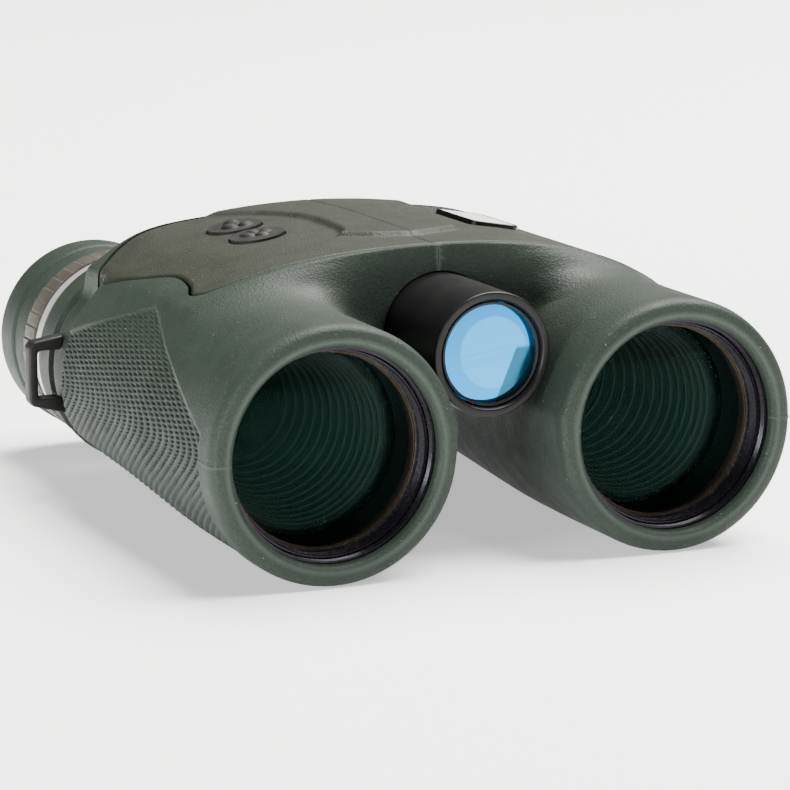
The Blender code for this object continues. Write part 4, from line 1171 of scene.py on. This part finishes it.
# ---- hinge, laser and focus ----------------------------------------------------------------------
def make_laser():
    tube = rounded([
        (TUBE_R - 0.15, TUBE_FRONT), (TUBE_R, TUBE_FRONT + 0.35), (TUBE_R, TUBE_REAR), (AXLE_R, TUBE_REAR),
        (AXLE_R, AXLE_REAR), (8.6, AXLE_REAR), (8.6, 64.0), (10.3, 64.0), (10.3, 20.0), (11.0, 20.0),
        (11.0, 10.3), (11.4, TUBE_FRONT),
    ], 0.3)
    piece = lathe("laser_tube_skin", tube, HINGE_AXIS)
    done(piece, "right_half", "black_metal", "laser_tube")
    ring = rounded([(10.1, 10.6), (10.7, 10.5), (10.7, 11.5), (10.3, 11.5)], 0.15, 3)
    done(lathe("laser_lens_bezel", ring, HINGE_AXIS), "right_half", "black_metal", "laser_lens_ring")
    lens = lathe("laser_window", lens_profile(10.7, 12.1, 14.6, 0.3, 0.0), HINGE_AXIS)
    done(lens, "right_half", "laser_glass", "laser_lens")


def ribs(radius, depth, angle):
    """The focus wheel's grip: rounded ribs that fade into its chamfers."""
    if radius < WHEEL_HUB_R + 1.0:
        return radius
    wave = math.cos(angle * WHEEL_RIBS)
    return radius - 0.8 * (0.5 - 0.5 * math.tanh(3 * wave))


def make_wheel():
    hub = rounded(band(AXLE_R + GAP, WHEEL_HUB_R, WHEEL), 0.3)
    done(lathe("focus_wheel_core", hub, HINGE_AXIS), "focus_wheel", "black_metal", "focus_wheel_hub")
    inner = WHEEL_HUB_R + 0.25
    span = (WHEEL[0] + 0.8, WHEEL[1] - 0.8)
    grip = rounded(band(inner, WHEEL_R, span), 0.8, 4)
    ring = lathe("focus_wheel_tyre", grip, HINGE_AXIS, WHEEL_RIBS * 16, ribs)
    done(smooth(ring, 50), "focus_wheel", "ring_bronze", "focus_wheel_grip", look="black_plastic")


def make_battery_cap():
    profile = rounded([(0, 124), (8.3, 124), (8.3, 131.5), (11.6, 131.5), (12.2, 132.1), (12.2, 135.4),
                       (11.4, 136.2), (0, 136.2)], 0.35, 4)

    def knurl(radius, depth, angle):
        return radius - 0.18 * (0.5 + 0.5 * math.cos(angle * 60)) * (radius > 12.0)

    cap = lathe("battery_cap_skin", profile, HINGE_AXIS, 480, knurl)
    cut(cap, box("slot", (-9.0, 135.0, HINGE_Z - 0.9), (9.0, 138.0, HINGE_Z + 0.9)))
    smooth(cap, 34)
    done(cap, "battery_cap", "black_metal", "battery_cap")


# ---- top details ---------------------------------------------------------------------------------
def button_height(x, y, plan):
    """Relief of a button: a shallow dish inside a rounded rim, with raised pads in the given places."""
    reach = np.sqrt((x / BUTTON_RADII[0]) ** 2 + (y / BUTTON_RADII[1]) ** 2)
    dome = 0.55 - 0.5 * blend(reach, 0.82, 1.0) - 0.1 * blend(reach, 0.55, 0.8)
    for px, py, width, length, turn, rise in plan:
        u = (x - px) * math.cos(turn) + (y - py) * math.sin(turn)
        v = -(x - px) * math.sin(turn) + (y - py) * math.cos(turn)
        r = np.sqrt((u / width) ** 2 + (v / length) ** 2)
        dome = np.maximum(dome, 0.45 + rise * np.sqrt(np.clip(1 - r**2, 0, 1)))
    return dome


BUTTON_PLANS = {               # raised pads: place, half sizes, turn and height
    "range_button": ((-1.7, -1.5, 1.7, 2.0, 0.4, 0.95), (1.9, -1.9, 1.5, 1.8, -0.5, 0.8),
                     (0.2, 2.1, 1.8, 1.9, 0.0, 0.95)),
    "menu_button": ((-2.2, 0.0, 1.4, 2.2, 0.3, 0.7), (0.4, -2.0, 1.5, 1.5, 0.0, 0.75),
                    (2.2, 0.6, 1.4, 2.0, -0.4, 0.7), (-0.1, 2.3, 1.4, 1.4, 0.0, 0.7)),
}


def make_button(node):
    """A sprung button: a turned grid of points over an oval, with a skirt down into the cover."""
    rows = []
    angles = 2 * math.pi * np.arange(96) / 96
    shares = np.concatenate([np.linspace(0.02, 0.8, 26), np.linspace(0.82, 1.0, 12)])
    for share in shares:
        x, y = BUTTON_RADII[0] * share * np.cos(angles), BUTTON_RADII[1] * share * np.sin(angles)
        rows.append(np.stack([x, y, button_height(x, y, BUTTON_PLANS[node])], -1))
    for height in (-0.4, -3.4):
        x, y = BUTTON_RADII[0] * np.cos(angles), BUTTON_RADII[1] * np.sin(angles)
        rows.append(np.stack([x, y, np.full_like(x, height)], -1))
    button = grid(f"{node}_cap", np.array(rows) * MM)
    button.data.transform(top_place(-BUTTON_X, BUTTON_DEPTHS[node]))
    smooth(button, 50)
    return done(button, node, "button_rubber", node)


def make_plate():
    """The blank plate: a dark frame with a polished insert."""
    rim = plate_block("plate_frame", (-0.9, 0.85), 0.0, bevel=0.2)
    cut(rim, plate_block("plate_room", (0.55, 3.0), -0.75))
    smooth(rim, 40)
    done(rim, "left_half", "black_metal", "name_plate")
    insert = plate_block("plate_insert", (0.57, 0.78), -0.8, bevel=0.06)
    smooth(insert, 40)
    done(insert, "left_half", "black_metal", look="plate_gloss")


def dress_hidden():
    """Materials for the CAD nodes that stay as they are."""
    slots = {}
    for part in frame["record"]["subparts"]:
        slots[part["node"]] = part["material_slot"]
    for node, obj in frame["nodes"].items():
        look = LOOKS.get(slots.get(node, ""), LOOKS["chassis"])
        if obj.data.materials:
            for i in range(len(obj.data.materials)):
                obj.data.materials[i] = look
        else:
            obj.data.materials.append(look)


# ---- stage ---------------------------------------------------------------------------------------
CAMERA_AZIMUTH = math.radians(-23.255)
CAMERA_ELEVATION = math.radians(11.234)
CAMERA_TARGET = Vector((-0.025696, -0.0785, 0.038223))
CAMERA_DISTANCE = 0.694319
CAMERA_LENS = 160.34           # on a 36 mm wide sensor


def make_camera():
    a, e = CAMERA_AZIMUTH, CAMERA_ELEVATION
    back = Vector((math.sin(a) * math.cos(e), -math.cos(a) * math.cos(e), math.sin(e)))
    right = (-back).cross(Vector((0, 0, 1))).normalized()
    up = right.cross(-back)
    data = bpy.data.cameras.new("camera")
    data.lens = CAMERA_LENS
    data.sensor_width = 36.0
    data.clip_end = 50.0
    camera = link("camera", data)
    turn = Matrix((right, up, back)).transposed().to_4x4()
    camera.matrix_world = Matrix.Translation(CAMERA_TARGET + back * CAMERA_DISTANCE) @ turn
    bpy.context.scene.camera = camera


def area_light(name, place, aim, size, power, colour):
    data = bpy.data.lights.new(name, "AREA")
    data.shape = "RECTANGLE"
    data.size, data.size_y = size
    data.energy = power
    data.color = colour
    light = link(name, data)
    light.location = place
    light.rotation_euler = (Vector(aim) - Vector(place)).to_track_quat("-Z", "Y").to_euler()


def make_stage():
    world_light = bpy.data.worlds.new("studio")
    world_light.use_nodes = True
    background = world_light.node_tree.nodes["Background"]
    background.inputs["Color"].default_value = (0.94, 0.97, 1.0, 1.0)
    background.inputs["Strength"].default_value = 0.07
    bpy.context.scene.world = world_light
    middle = (0.0, 0.0, 0.03)
    area_light("overhead_softbox", (0.95, 0.3, 2.05), (0.1, 0.2, 0.0), (2.4, 2.0), 330.0,
               (1.0, 0.985, 0.95))
    area_light("left_softbox", (-1.0, -0.5, 0.16), middle, (0.5, 0.3), 18.0, (0.97, 1.0, 1.0))
    mesh = bpy.data.meshes.new("floor")
    reach = 12.0
    mesh.from_pydata([(-reach, -reach, 0), (reach, -reach, 0), (reach, reach, 0), (-reach, reach, 0)], [],
                     [(0, 1, 2, 3)])
    floor = link("floor", mesh)
    shade = Shade("floor_look", Roughness=0.7)
    shade.set("Base Color", shade.mix(shade.noise(400, 2), (0.90, 0.90, 0.90), (0.93, 0.93, 0.93)))
    shade.shader.inputs["Emission Color"].default_value = (1, 1, 1, 1)
    shade.shader.inputs["Emission Strength"].default_value = 0.62
    mesh.materials.append(shade.material)


# ---- everything ----------------------------------------------------------------------------------
make_camera()
make_stage()
dress_hidden()
for half, half_side in SIDES.items():
    make_armour(half, half_side)
    make_cover(half, half_side)
    make_chassis(half, half_side)
    make_front_rings(half, half_side)
    make_lenses(half, half_side)
    make_eyepiece(half, half_side)
    make_lug(half, half_side)
make_laser()
make_wheel()
make_battery_cap()
for button_node in BUTTON_DEPTHS:
    make_button(button_node)
make_plate()
